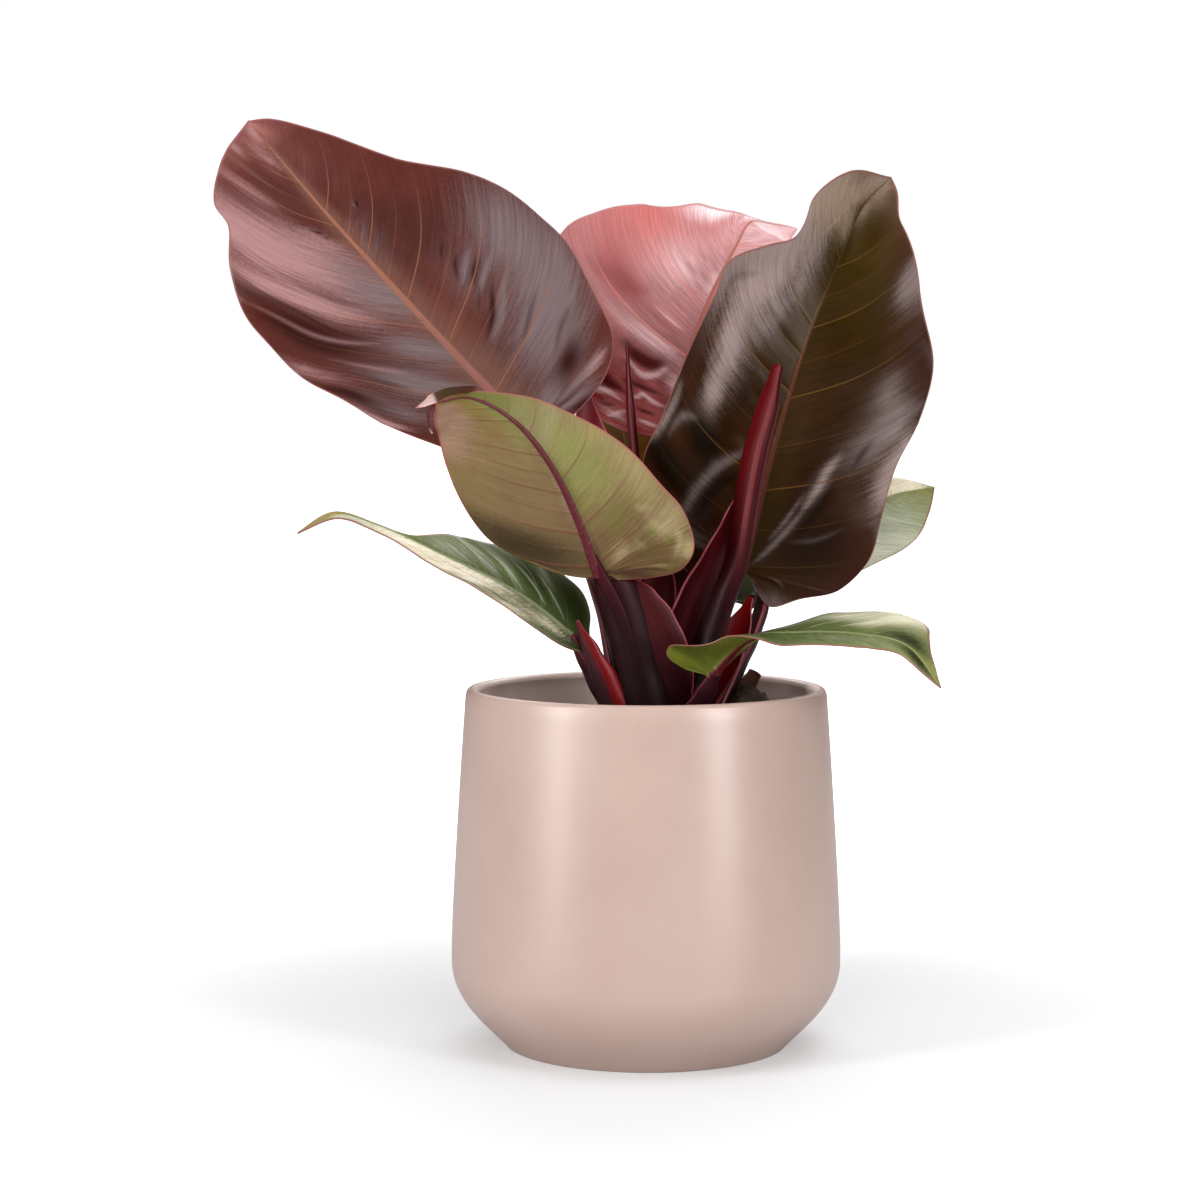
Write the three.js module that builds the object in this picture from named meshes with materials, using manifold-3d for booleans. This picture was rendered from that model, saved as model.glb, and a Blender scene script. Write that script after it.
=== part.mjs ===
// Potted cherry red philodendron: a glazed pot, soil, a short crown, winged leaf
// stalks, eight leaves and the rolled new growth. Millimetres, Z up, the origin at
// the middle of the pot's flat base, the viewer's side at -Y.
import * as THREE from 'three';
import { mergeVertices } from 'three/addons/utils/BufferGeometryUtils.js';
import Module from 'manifold-3d';

const wasm = await Module();
wasm.setup();

// Pot, as radii and heights
const potHeight = 146.8;
const rimRadius = 73.8;
const rimRound = 2.4;
const waistRadius = 80;
const waistHeight = 41;
const footRadius = 58.6;
const footHeight = 0.8;
const coneSlope = 1;
const shoulderRound = 12;
const wall = 5.2;
const wallCurve = 1.25;
const wallHeights = [14, 19, 24, 30, 41, 60, 85, 112, 132];
const innerHeights = [19, 30, 60, 100, 132];
const floorThickness = 7;
const floorRound = 3;
const potSides = 48;

// Soil and crown
const soilTop = 131;
const soilRings = [56, 44, 32];
const lumpHeight = 0.5;
const lumpLength = 5;
const moundHeight = 7;
const moundPlace = [34, 8];
const moundRadius = 17;
const crownRadius = 15;
const crownBase = 96;
const crownTop = 137;
const crownPlace = [4, -1];
const crownSides = 20;

// Clearance between touching pieces
const gap = 0.32;

// The net of a blade: rows that follow the side veins, which lead towards the tip as
// they leave the midrib and bend further on the way, and columns from midrib to margin
const bladeThickness = 1;
const veinLead = 0.45;
const veinBend = 1.3;
const fanRows = 4;
const midribRows = 14;
const acrossBlade = [0.38, 0.7, 1];
const ribSpread = 1.6;
const widestRib = 0.2;
const ribTaper = 0.75;

// The net of a stalk
const edgeThickness = 0.9;
const sweepStep = 10;
const sectionSteps = 5;

// Leaves: the midrib from the stalk to the tip, the way the upper face looks, and for
// each half its outline as [along the midrib, out from it], the angle at which it
// leaves the midrib and the further bend by the margin, in degrees, base to tip.
const leaves = {
  leaf_upper_left: {
    colour: 0x5b2e2c,
    midrib: [[-48, 14, 251], [-69, 20, 272], [-103, 32, 308], [-138, 45, 346], [-170, 60, 383]],
    face: [0, -1, 0.35],
    halfWidth: 62,
    rib: 2.2,
    left: {
      outline: [[-5, 8], [-4, 22], [5, 34], [17, 40], [31, 46], [54, 54], [84, 57], [113, 56], [135, 47],
        [150, 36], [163, 34], [178, 19]],
      fold: [35, 28, 16, 8, 4],
      bend: [-10, -14, -18, -12, -8],
      wave: [2.5, 4, 0.1],
    },
    right: {
      outline: [[-6, 9], [-5, 24], [-1, 39], [8, 53], [34, 63], [59, 69], [83, 67], [104, 57], [129, 39],
        [161, 21], [180, 8]],
      fold: [10, 10, 8, 6, 4],
      bend: [-16, -20, -20, -12, -8],
      wave: [2.5, 3, 0.6],
    },
  },
  leaf_upper_right: {
    colour: 0x33231c,
    midrib: [[40, 10, 194], [51, 8, 240], [65, 14, 286], [80, 24, 323], [91, 32, 346], [102, 36, 357]],
    face: [0.1, -1, 0.25],
    halfWidth: 52,
    rib: 2.2,
    left: {
      outline: [[-8, 8], [-7, 20], [4, 34], [18, 44], [35, 51], [52, 48], [81, 45], [103, 43], [115, 43],
        [124, 34], [132, 26], [149, 28], [164, 20], [176, 5]],
      fold: [10, 10, 10, 20, 50, 55],
      bend: [-20],
      wave: [2, 4, 0.3],
    },
    right: {
      outline: [[-7, 7], [-12, 14], [-6, 26], [1, 41], [15, 50], [35, 51], [59, 51], [82, 55], [107, 53],
        [134, 38], [162, 20], [176, 8]],
      fold: [8],
      bend: [-25, -20, -18, -15, -10],
      wave: [2, 4, 0.8],
    },
  },
  leaf_back: {
    colour: 0xb5605c,
    midrib: [[9, 44, 247], [15, 54, 278], [25, 66, 307], [37, 80, 332], [49, 96, 342], [67, 112, 340]],
    face: [0.05, -1, 0.6],
    halfWidth: 62,
    rib: 2,
    left: {
      outline: [[-6, 9], [-6, 20], [-2, 32], [10, 46], [30, 60], [52, 69], [75, 71], [86, 62], [95, 47],
        [105, 30], [118, 14], [134, 6]],
      fold: [10, 10, 10, 8, 4],
      bend: [-10, -14, -18, -12, -8],
      wave: [2, 5, 0.2],
    },
    right: {
      outline: [[-6, 9], [-6, 20], [0, 34], [14, 46], [35, 54], [58, 57], [78, 54], [98, 42], [116, 26],
        [132, 10]],
      fold: [10, 10, 10, 8, 4],
      bend: [-10, -14, -18, -12, -8],
      wave: [2, 4, 0.5],
    },
  },
  leaf_front: {
    colour: 0x8b8a55,
    midrib: [[-19, -24, 194], [-28, -32, 219], [-38, -38, 239], [-52, -44, 256], [-69, -50, 265],
      [-82, -54, 263]],
    face: [0.1, 1, 0.35],
    steady: 0.6,
    halfWidth: 42,
    rib: 2.4,
    left: {
      outline: [[-6, 7], [-12, 20], [-15, 33], [-10, 41], [7, 42], [21, 37], [38, 30], [58, 20], [75, 12],
        [92, 4]],
      fold: [8, 8, 20, 40, 55, 60],
      bend: [-10],
      wave: [0.6, 3, 0.2],
    },
    right: {
      outline: [[1, 5], [5, 11], [12, 19], [23, 29], [33, 37], [48, 41], [62, 40], [76, 35], [89, 26],
        [102, 13]],
      fold: [8],
      bend: [-10],
      wave: [0.6, 3, 0.7],
    },
  },
  leaf_low_left: {
    colour: 0x5f7350,
    midrib: [[-26, -12, 165], [-51, -22, 186], [-82, -34, 203], [-107, -42, 215], [-122, -46, 219],
      [-137, -48, 212]],
    face: [0.1, -0.4, 1],
    halfWidth: 28,
    rib: 1.5,
    left: {
      outline: [[-2, 4], [4, 8], [12, 12], [22, 14], [36, 15], [53, 14], [72, 12], [90, 8], [106, 5],
        [122, 3]],
      fold: [-8, -6, -4, 0, 10],
      bend: [-10],
      wave: [0.5, 3, 0],
    },
    right: {
      outline: [[-3, 4], [-1, 10], [1, 19], [8, 28], [19, 29], [33, 27], [50, 22], [72, 14], [92, 8],
        [115, 4]],
      fold: [24, 22, 18, 14, 10],
      bend: [-10],
      wave: [0.5, 3, 0.5],
    },
  },
  leaf_low_right: {
    colour: 0x6d8a45,
    midrib: [[26, -30, 154], [40, -40, 170], [60, -48, 173], [83, -56, 173], [101, -62, 169],
      [114, -66, 153]],
    face: [-0.1, -0.3, 1],
    halfWidth: 26,
    rib: 1.5,
    left: {
      outline: [[-4, 5], [-2, 12], [8, 17], [22, 18], [40, 19], [58, 22], [72, 21], [84, 16], [95, 8],
        [104, 3]],
      fold: [-20, -12, 2, 10, 10],
      bend: [-10],
      wave: [0.5, 3, 0],
    },
    right: {
      outline: [[-1, 3], [-4, 11], [-3, 20], [7, 22], [20, 20], [34, 15], [52, 12], [74, 10], [88, 7],
        [100, 4]],
      fold: [75, 26, 0, -5, -8, -10],
      bend: [0],
      wave: [0.5, 3, 0.5],
    },
  },
  leaf_low_back: {
    colour: 0x8f9a7e,
    midrib: [[43, 36, 179], [66, 52, 198], [92, 68, 216], [108, 76, 223], [126, 84, 226]],
    face: [0, -0.5, 1],
    halfWidth: 28,
    rib: 1.5,
    left: {
      outline: [[-4, 5], [-2, 13], [8, 21], [24, 26], [44, 27], [64, 25], [84, 19], [98, 10]],
      fold: [10],
      bend: [-20],
      wave: [0.5, 3, 0],
    },
    right: {
      outline: [[-1, 3], [4, 5], [15, 8], [33, 16], [50, 21], [73, 24], [93, 20], [101, 12]],
      fold: [-30],
      bend: [-20],
      wave: [0.5, 3, 0.5],
    },
  },
  leaf_behind: {
    colour: 0x7c7c4a,
    midrib: [[-4, 60, 196], [-6, 76, 222], [-9, 96, 244], [-13, 118, 258], [-18, 142, 262]],
    face: [0, -0.7, 1],
    halfWidth: 32,
    rib: 1.5,
    left: {
      outline: [[-4, 6], [-3, 15], [8, 24], [26, 30], [48, 31], [70, 25], [88, 14], [98, 5]],
      fold: [10],
      bend: [-20],
      wave: [0.8, 3, 0],
    },
    right: {
      outline: [[-4, 6], [-3, 15], [8, 24], [26, 30], [48, 31], [70, 25], [88, 14], [98, 5]],
      fold: [10],
      bend: [-20],
      wave: [0.8, 3, 0.5],
    },
  },
};

// Stalks, sheaths and rolled leaves: the run from the crown up, and along it the half
// width and the depth of the section, its hollow on the inner side and the curl of its
// wings. face is the way the hollow side looks. A piece lower in the list is cut clear
// of those above it.
const stalkColour = 0x4a1f27;
const cherryRed = 0x8e1526;
const stems = {
  stalk_front: {
    colour: stalkColour,
    path: [[4.5, -12, 126], [4.5, -16, 143], [0, -19, 163], [-7.5, -21.5, 180], [-15, -23.5, 191],
      [-22, -27, 203]],
    face: [0.4, 1, 0.1],
    width: [15, 16.5, 15.5, 11, 5, 2.6],
    depth: [7, 7, 6.5, 6, 4.5, 2.6],
    hollow: [-4, -4.5, -4.5, -3.5, 0, 1.5],
    curl: [50, 50, 45, 40, 20, 0],
  },
  stalk_new_leaf: {
    colour: stalkColour,
    path: [[15, -6, 126], [22, -8, 154], [26, -9, 168], [31, -11, 184], [36, -12, 198], [38.5, -12.2, 205]],
    face: [-0.3, 1, 0],
    width: [7.5, 6.8, 6.4, 5.4, 4.8, 4.6],
    depth: [7, 6.4, 6, 5.2, 4.6, 4.4],
    hollow: [4, 5, 5, 4.6, 4.4, 4.2],
    curl: [0],
  },
  rolled_leaf: {
    colour: cherryRed,
    path: [[38.5, -12.2, 205.3], [40, -13, 224], [43.5, -14, 242], [48, -13, 259], [53, -11, 278]],
    face: [-1, -0.4, 0.2],
    width: [4.9, 5.6, 5.4, 4.6, 0.8],
    depth: [4.8, 5.4, 5.2, 4.2, 0.8],
    hollow: [4, 4.4, 4.2, 3.4, 0.6],
    curl: [0],
  },
  sheath_new_leaf: {
    colour: cherryRed,
    path: [[8, -2, 126], [9, -3, 142], [12, -4, 158], [18, -5, 175], [24, -6, 190], [31, -7.5, 205],
      [36, -9, 217], [39, -10.5, 229]],
    face: [0.3, -1, 0],
    width: [13, 13, 13, 12, 10, 7.5, 5, 1],
    depth: [2.6, 2.4, 2.2, 2, 1.6, 1.2, 1, 0.7],
    hollow: [-1, -1, -1, -0.8, -0.4, 0, 0, 0.6],
    curl: [75, 75, 75, 75, 75, 75, 60, 10],
  },
  sheath_left: {
    colour: cherryRed,
    path: [[-9, -12, 126], [-14, -15, 140], [-18, -17, 151], [-23, -18.5, 163], [-27.5, -20, 175]],
    face: [0.5, 1, 0.3],
    width: [8, 8, 7, 4.5, 0.9],
    depth: [2.6, 2.4, 1.8, 1.4, 0.7],
    hollow: [-1.2, -1.2, -0.8, -0.4, 0.6],
    curl: [75, 75, 70, 55, 10],
  },
  stalk_low_left: {
    colour: stalkColour,
    path: [[-8, -5, 126], [-14, -8, 141], [-20, -10, 151], [-25, -12, 160], [-29, -13.5, 168]],
    face: [1, 0, 0.5],
    width: [8, 7, 6, 4, 2.6],
    depth: [6, 5.5, 5, 3.6, 2.4],
    hollow: [-2, -1, 0, 1, 1.4],
    curl: [50, 40, 30, 10, 0],
  },
  stalk_low_right: {
    colour: stalkColour,
    path: [[18, -11, 126], [21, -17, 139], [24, -24, 147], [27.5, -31, 155.5]],
    face: [0, 0.4, 1],
    width: [7, 6, 4, 2.4],
    depth: [5, 4.5, 3.5, 2.4],
    hollow: [-1, 0, 1, 1.2],
    curl: [40, 30, 10, 0],
  },
  stalk_upper_right: {
    colour: stalkColour,
    path: [[20, 2, 126], [28, 3, 141], [37, 5, 158], [44, 8, 171], [47.5, 12, 182], [45.5, 13, 190],
      [39.5, 10.5, 197]],
    face: [-1, -0.4, 0.3],
    width: [9, 9, 8, 6, 4.5, 3.8, 3],
    depth: [6.5, 6, 5.4, 5, 4, 3.6, 3],
    hollow: [-2, -1, 0, 1, 1, 1.5, 1.5],
    curl: [50, 40, 20, 0, 0, 0, 0],
  },
  sheath_right: {
    colour: cherryRed,
    path: [[22, -3, 126], [28, -2, 142], [33, 0, 155], [38, 1, 170], [42.5, 2, 183]],
    face: [-0.4, -1, 0.2],
    width: [6, 6, 5.5, 4.5, 1],
    depth: [2.2, 2, 1.6, 1.2, 0.7],
    hollow: [-1, -1, -0.8, -0.4, 0.6],
    curl: [70, 70, 60, 50, 10],
  },
  sheath_middle: {
    colour: cherryRed,
    path: [[3, 0, 126], [3, 2, 145], [4, 3, 165], [5, 4, 185], [6, 5, 206]],
    face: [-0.2, -1, 0],
    width: [11, 11, 11, 9, 1],
    depth: [2.4, 2.2, 2, 1.6, 0.7],
    hollow: [-1, -1, -0.8, -0.4, 0.6],
    curl: [70, 70, 65, 55, 10],
  },
  thin_rolled_leaf: {
    colour: cherryRed,
    path: [[3, 7, 126], [-1, 10, 160], [-3, 15, 200], [-5, 20, 239], [-7, 22, 264], [-8, 24, 286]],
    face: [-1, -1, 0],
    width: [4.5, 4, 3.2, 2.4, 1.8, 0.6],
    depth: [4.5, 4, 3, 2.2, 1.7, 0.6],
    hollow: [3, 3, 2.4, 1.8, 1.4, 0.5],
    curl: [0],
  },
  stalk_upper_left: {
    colour: stalkColour,
    path: [[-4, 5, 126], [-8, 8, 150], [-14.5, 9.5, 178], [-22, 11, 199], [-38, 12.5, 236], [-52, 15, 256]],
    face: [0.4, -1, 0.2],
    width: [8, 7.5, 6, 5, 4, 3],
    depth: [6, 6, 5.5, 5, 4, 3],
    hollow: [-2, -1, 0, 1, 1, 1.5],
    curl: [50, 40, 20, 0, 0, 0],
  },
  sheath_back: {
    colour: 0x6d3a42,
    path: [[-3, 12, 126], [-10, 16, 155], [-16, 20, 190], [-20, 22, 225], [-23, 22, 250], [-23.5, 22, 267]],
    face: [0.3, -1, 0],
    width: [7, 7, 6.5, 6, 4.5, 0.9],
    depth: [2.4, 2.2, 2, 1.8, 1.4, 0.7],
    hollow: [-1, -1, -1, -0.8, -0.4, 0.6],
    curl: [60, 60, 60, 60, 50, 10],
  },
  stalk_back: {
    colour: stalkColour,
    path: [[6, 12, 126], [9, 20, 160], [11.5, 32, 197], [11.5, 40, 232], [10.5, 46, 251]],
    face: [0, -1, 0.3],
    width: [9, 9.5, 8, 4.5, 3],
    depth: [6, 6, 5, 4, 3],
    hollow: [-2, -1, 1, 1, 1.5],
    curl: [50, 40, 0, 0, 0],
  },
  stalk_low_back: {
    colour: stalkColour,
    path: [[14, 9, 126], [24, 19, 145], [35, 30, 164], [44.5, 37.5, 181]],
    face: [-0.5, -0.5, 1],
    width: [6, 5, 4, 2.4],
    depth: [5, 4.5, 3.5, 2.4],
    hollow: [-1, 0, 1, 1.2],
    curl: [40, 20, 0, 0],
  },
  stalk_behind: {
    colour: stalkColour,
    path: [[-2, 12, 126], [-4, 28, 148], [-5, 45, 174], [-4.2, 62.5, 200]],
    face: [0, -0.6, 1],
    width: [6, 5, 4, 2.4],
    depth: [5, 4.5, 3.5, 2.4],
    hollow: [-1, 0, 1, 1.2],
    curl: [40, 20, 0, 0],
  },
  dry_scale: {
    colour: 0x3a2018,
    path: [[26, 5, 128], [35, 6, 137], [41, 6.5, 145], [45, 7, 154]],
    face: [-1, -0.5, 0.4],
    width: [3, 4, 3.5, 2.4],
    depth: [1.2, 1, 1, 0.8],
    hollow: [-0.2, 0, 0, 0],
    curl: [50, 50, 40, 20],
  },
};

function vector(p) {
  return new THREE.Vector3(p[0], p[1], p[2]);
}

// A value at 0..1 along a short list of even stations, eased between them
function along(list, t) {
  if (list.length === 1) return list[0];
  const k = THREE.MathUtils.clamp(t, 0, 1) * (list.length - 1);
  const i = Math.min(Math.floor(k), list.length - 2);
  const f = THREE.MathUtils.smoothstep(k - i, 0, 1);
  return list[i] * (1 - f) + list[i + 1] * f;
}

// A closed body from numbered corners and triangles, for cutting and joining
function solidOf(positions, triangles) {
  const mesh = new wasm.Mesh({
    numProp: 3,
    vertProperties: new Float32Array(positions),
    triVerts: new Uint32Array(triangles),
  });
  mesh.merge();
  return new wasm.Manifold(mesh);
}

// The same for a three.js geometry, whose split corners are first made one
function solidFrom(geometry) {
  const bare = geometry.clone();
  bare.deleteAttribute('normal');
  bare.deleteAttribute('uv');
  const merged = mergeVertices(bare, 1e-4);
  return solidOf(merged.attributes.position.array, merged.index.array);
}

function geometryOf(solid) {
  const mesh = solid.getMesh();
  const geometry = new THREE.BufferGeometry();
  geometry.setAttribute('position', new THREE.BufferAttribute(mesh.vertProperties, 3));
  geometry.setIndex(new THREE.BufferAttribute(mesh.triVerts, 1));
  return geometry;
}

// After a cut only the largest body is kept
function largest(solid) {
  return solid.decompose().sort((a, b) => b.volume() - a.volume())[0];
}

// The leaf's midrib as a curve, with its sideways and upward directions
function spine(leaf) {
  const curve = new THREE.CatmullRomCurve3(leaf.midrib.map(vector), false, 'centripetal');
  const length = curve.getLength();
  const up = vector(leaf.face);
  const whole = curve.getPoint(1).sub(curve.getPoint(0)).normalize();
  return {
    length,
    frame(a) {
      const t = THREE.MathUtils.clamp(a / length, 0, 1);
      const tangent = curve.getTangentAt(t);
      const course = tangent.clone().lerp(whole, leaf.steady ?? 0);
      const side = course.clone().cross(up).normalize();
      const normal = side.clone().cross(course).normalize();
      const point = curve.getPointAt(t).addScaledVector(tangent, a - t * length);
      return { point, side, normal };
    },
  };
}

// The point of a half blade at a along the midrib and b out from it
function bladePoint(leaf, line, half, hand, a, b) {
  const { point, side, normal } = line.frame(a);
  const t = a / line.length;
  const fold = THREE.MathUtils.degToRad(along(half.fold, t));
  const bend = THREE.MathUtils.degToRad(along(half.bend, t)) / leaf.halfWidth;
  const turned = fold + bend * b;
  const steady = Math.abs(bend * b) < 1e-4;
  const out = steady ? Math.cos(fold) * b : (Math.sin(turned) - Math.sin(fold)) / bend;
  let rise = steady ? Math.sin(fold) * b : (Math.cos(fold) - Math.cos(turned)) / bend;
  const [height, count, start] = half.wave;
  rise += height * (b / leaf.halfWidth) ** 2 * Math.sin(2 * Math.PI * (count * t + start));
  return point.addScaledVector(side, hand * out).addScaledVector(normal, rise);
}

// Where the side veins meet the margin: rows that fan from the leaf's base round its
// lobe, then rows from even steps up the midrib
function marginRows(half, length) {
  const outline = [...half.outline.map(([a, b]) => new THREE.Vector2(a, b)), new THREE.Vector2(length, 0)];
  const points = new THREE.SplineCurve(outline).getSpacedPoints(400);
  const reach = [];
  for (const p of points) {
    reach.push(Math.max(p.x - veinLead * p.y, reach.length ? reach[reach.length - 1] : -1e9));
  }
  const first = reach.findIndex((r) => r >= 0);
  const rows = [];
  for (let i = 0; i < fanRows; i += 1) rows.push([0, points[Math.round((first * i) / fanRows)]]);
  for (let i = 0; i <= midribRows; i += 1) {
    const root = (length * i) / midribRows;
    const k = i === midribRows ? points.length - 1 : reach.findIndex((r) => r >= root);
    rows.push([root, points[k < 0 ? points.length - 1 : k]]);
  }
  return rows;
}

// The blade: both halves on one net, thickened alike on its two faces, with the
// midrib standing out below
function blade(leaf) {
  const line = spine(leaf);
  const corners = [];
  const numbers = new Map();
  const corner = (key, point, normal, depth) => {
    if (!numbers.has(key)) {
      numbers.set(key, corners.length);
      corners.push({ point, normal, depth });
    }
    return numbers.get(key);
  };
  const faces = [];
  const face = (a, b, c) => {
    if (a !== b && b !== c && c !== a) faces.push([a, b, c]);
  };
  for (const hand of [-1, 1]) {
    const half = hand < 0 ? leaf.left : leaf.right;
    const rows = marginRows(half, line.length);
    const net = rows.map(([root, edge], row) => {
      const t = root / line.length;
      const ribWidth = Math.min(widestRib, (leaf.rib * ribSpread) / Math.max(edge.y, 1));
      const steps = [0, ribWidth, ...acrossBlade];
      return steps.map((u, column) => {
        const a = root + (edge.x - root) * u ** veinBend;
        const b = edge.y * u;
        const at = (da, db) => bladePoint(leaf, line, half, hand, a + da, b + db);
        const point = at(0, 0);
        const lengthwise = at(1, 0).sub(at(-1, 0));
        const crosswise = at(0, 1).sub(at(0, -1)).multiplyScalar(hand);
        const normal = column ? crosswise.cross(lengthwise).normalize() : line.frame(root).normal;
        const depth = column ? 0 : leaf.rib * (1 - ribTaper * t);
        const last = row === rows.length - 1;
        const key = last ? 'tip' : column ? `${hand} ${row} ${column}` : `root ${root.toFixed(3)}`;
        return corner(key, point, normal, last ? 0 : depth);
      });
    });
    for (let i = 0; i < net.length - 1; i += 1) {
      for (let j = 0; j < net[i].length - 1; j += 1) {
        const [p, q, r, s] = [net[i][j], net[i][j + 1], net[i + 1][j + 1], net[i + 1][j]];
        if (hand > 0) {
          face(p, q, r);
          face(p, r, s);
        } else {
          face(p, r, q);
          face(p, s, r);
        }
      }
    }
  }
  return thicken(corners, faces, bladeThickness);
}

// A sheet of faces given a thickness, and closed along its free edges
function thicken(corners, faces, thickness) {
  const n = corners.length;
  const positions = [];
  for (const { point, normal } of corners) {
    positions.push(...point.clone().addScaledVector(normal, thickness / 2).toArray());
  }
  for (const { point, normal, depth } of corners) {
    positions.push(...point.clone().addScaledVector(normal, -thickness / 2 - depth).toArray());
  }
  const triangles = [];
  const edges = new Map();
  for (const [a, b, c] of faces) {
    triangles.push(a, b, c, a + n, c + n, b + n);
    for (const [from, to] of [[a, b], [b, c], [c, a]]) edges.set(`${from} ${to}`, [from, to]);
  }
  for (const [from, to] of edges.values()) {
    if (!edges.has(`${to} ${from}`)) triangles.push(from, from + n, to + n, from, to + n, to);
  }
  return solidOf(positions, triangles);
}

// A crescent section, as a ring of points: the round outer side, then the hollow inner
// side back again, a little apart at the two edges
function crescent(width, depth, hollow) {
  const ring = [];
  const edge = edgeThickness / 2;
  for (let k = 0; k <= sectionSteps; k += 1) {
    const angle = (Math.PI * k) / sectionSteps;
    ring.push([-width * Math.cos(angle), -edge - (depth - edge) * Math.sin(angle)]);
  }
  for (let k = 0; k <= sectionSteps; k += 1) {
    const angle = (Math.PI * k) / sectionSteps;
    ring.push([width * Math.cos(angle), edge + (hollow - edge) * Math.sin(angle)]);
  }
  return ring;
}

// The ring with each side moved outwards
function grown(ring, by) {
  const outward = (from, to) => new THREE.Vector2(to[1] - from[1], from[0] - to[0]).normalize();
  return ring.map((point, i) => {
    const before = outward(ring.at(i - 1), point);
    const after = outward(point, ring[(i + 1) % ring.length]);
    const reach = by / (1 + before.dot(after));
    return [point[0] + (before.x + after.x) * reach, point[1] + (before.y + after.y) * reach];
  });
}

// A run of sections along a path, with flat ends. swell is added all round and ahead
// of both ends, for cutting a neighbour clear of it.
function sweep(stem, swell = 0) {
  const curve = new THREE.CatmullRomCurve3(stem.path.map(vector), false, 'centripetal');
  const length = curve.getLength();
  const rows = Math.max(5, Math.round(length / sweepStep));
  const face = vector(stem.face);
  const positions = [];
  for (let i = 0; i <= rows; i += 1) {
    const t = i / rows;
    const tangent = curve.getTangentAt(t);
    const side = tangent.clone().cross(face).normalize();
    const normal = side.clone().cross(tangent);
    const ahead = i === 0 ? -swell : i === rows ? swell : 0;
    const centre = curve.getPointAt(t).addScaledVector(tangent, ahead);
    const width = along(stem.width, t);
    const curl = THREE.MathUtils.degToRad(along(stem.curl, t)) / width;
    const ring = crescent(width, along(stem.depth, t), along(stem.hollow, t));
    for (const [x, y] of grown(ring, swell)) {
      const turn = curl * x;
      const out = curl ? Math.sin(turn) / curl : x;
      const rise = curl ? (1 - Math.cos(turn)) / curl : 0;
      const p = centre.clone().addScaledVector(side, out - y * Math.sin(turn));
      positions.push(...p.addScaledVector(normal, rise + y * Math.cos(turn)).toArray());
    }
  }
  return solidOf(positions, tubeFaces(rows, 2 * sectionSteps + 2));
}

// Triangles of a closed tube of rings, its ends closed by strips across the section
function tubeFaces(rows, ring) {
  const triangles = [];
  for (let i = 0; i < rows; i += 1) {
    for (let k = 0; k < ring; k += 1) {
      const next = (k + 1) % ring;
      const [p, q, r, s] = [i * ring + k, i * ring + next, (i + 1) * ring + next, (i + 1) * ring + k];
      triangles.push(p, r, q, p, s, r);
    }
  }
  const end = rows * ring;
  for (let k = 0; k < ring / 2 - 1; k += 1) {
    const [p, q, r, s] = [k, k + 1, ring - 2 - k, ring - 1 - k];
    triangles.push(p, q, r, p, r, s);
    triangles.push(end + p, end + r, end + q, end + p, end + s, end + r);
  }
  return triangles;
}

// A solid of revolution about the origin's vertical axis
function lathe(profile, sides) {
  const geometry = new THREE.LatheGeometry(profile.map(([r, z]) => new THREE.Vector2(r, z)), sides);
  geometry.rotateX(Math.PI / 2);
  return solidFrom(geometry);
}

// The pot's outside: a cone from the foot, a round shoulder, then a wall that draws in
// slowly towards the rim
function potRadius(z) {
  const cone = footRadius + (z - footHeight) * coneSlope;
  const rise = Math.max(0, (z - waistHeight) / (potHeight - waistHeight));
  const side = waistRadius - (waistRadius - rimRadius) * rise ** wallCurve;
  const near = Math.max(0, shoulderRound - Math.abs(cone - side)) / shoulderRound;
  return Math.min(cone, side) - (near * near * shoulderRound) / 4;
}

function pot() {
  const outside = wallHeights.map((z) => [potRadius(z), z]);
  const inside = innerHeights.map((z) => [potRadius(z) - wall, z]);
  const rim = [];
  for (let k = 0; k <= 4; k += 1) {
    const angle = (Math.PI * k) / 4;
    const lipRound = k < 2 ? rimRound : wall - rimRound;
    const middle = potRadius(potHeight) - rimRound;
    rim.push([middle + lipRound * Math.cos(angle), potHeight - rimRound + rimRound * Math.sin(angle)]);
  }
  return lathe([
    [0, 0],
    [footRadius - footHeight, 0],
    [footRadius, footHeight],
    ...outside,
    ...rim,
    ...inside.reverse(),
    [potRadius(floorThickness) - wall - floorRound, floorThickness],
    [0, floorThickness],
  ], potSides);
}

// Soil: it fills the pot to a little below the rim, and is heaped behind the plant's right
function soil() {
  const bottom = floorThickness + gap;
  const edge = (z) => potRadius(z) - wall - gap;
  const geometry = new THREE.LatheGeometry([
    [0, bottom],
    [edge(floorThickness) - floorRound - gap, bottom],
    ...innerHeights.filter((z) => z < soilTop).map((z) => [edge(z), z]),
    [edge(soilTop), soilTop - 1],
    ...soilRings.map((r) => [r, soilTop]),
    [0, soilTop],
  ].map(([r, z]) => new THREE.Vector2(r, z)), potSides / 2);
  geometry.rotateX(Math.PI / 2);
  const place = geometry.attributes.position;
  for (let i = 0; i < place.count; i += 1) {
    const [x, y, z] = [place.getX(i), place.getY(i), place.getZ(i)];
    if (z < soilTop - 0.01) continue;
    const away = Math.hypot(x - moundPlace[0], y - moundPlace[1]) / moundRadius;
    const lump = lumpHeight * Math.sin(x / lumpLength) * Math.cos(y / lumpLength);
    place.setZ(i, z + moundHeight * Math.exp(-away * away) + lump);
  }
  return solidFrom(geometry);
}

// The crown, a short stout stem; swell is added all round it
function crown(swell = 0) {
  const radius = crownRadius + swell;
  const [base, top] = [crownBase - swell, crownTop + swell];
  const outline = [[0, 0], [0.85, 0], [1, 0.15], [1, 0.75], [0.6, 1], [0, 1]];
  const solid = lathe(outline.map(([r, z]) => [r * radius, base + z * (top - base)]), crownSides);
  return solid.translate([crownPlace[0], crownPlace[1], 0]);
}

// The bodies, each cut clear of those placed before it
const bodies = [];
function place(name, colour, solid, swollen = null, roughness = 0.45) {
  bodies.push({ name, colour, solid, swollen, roughness });
}

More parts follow.
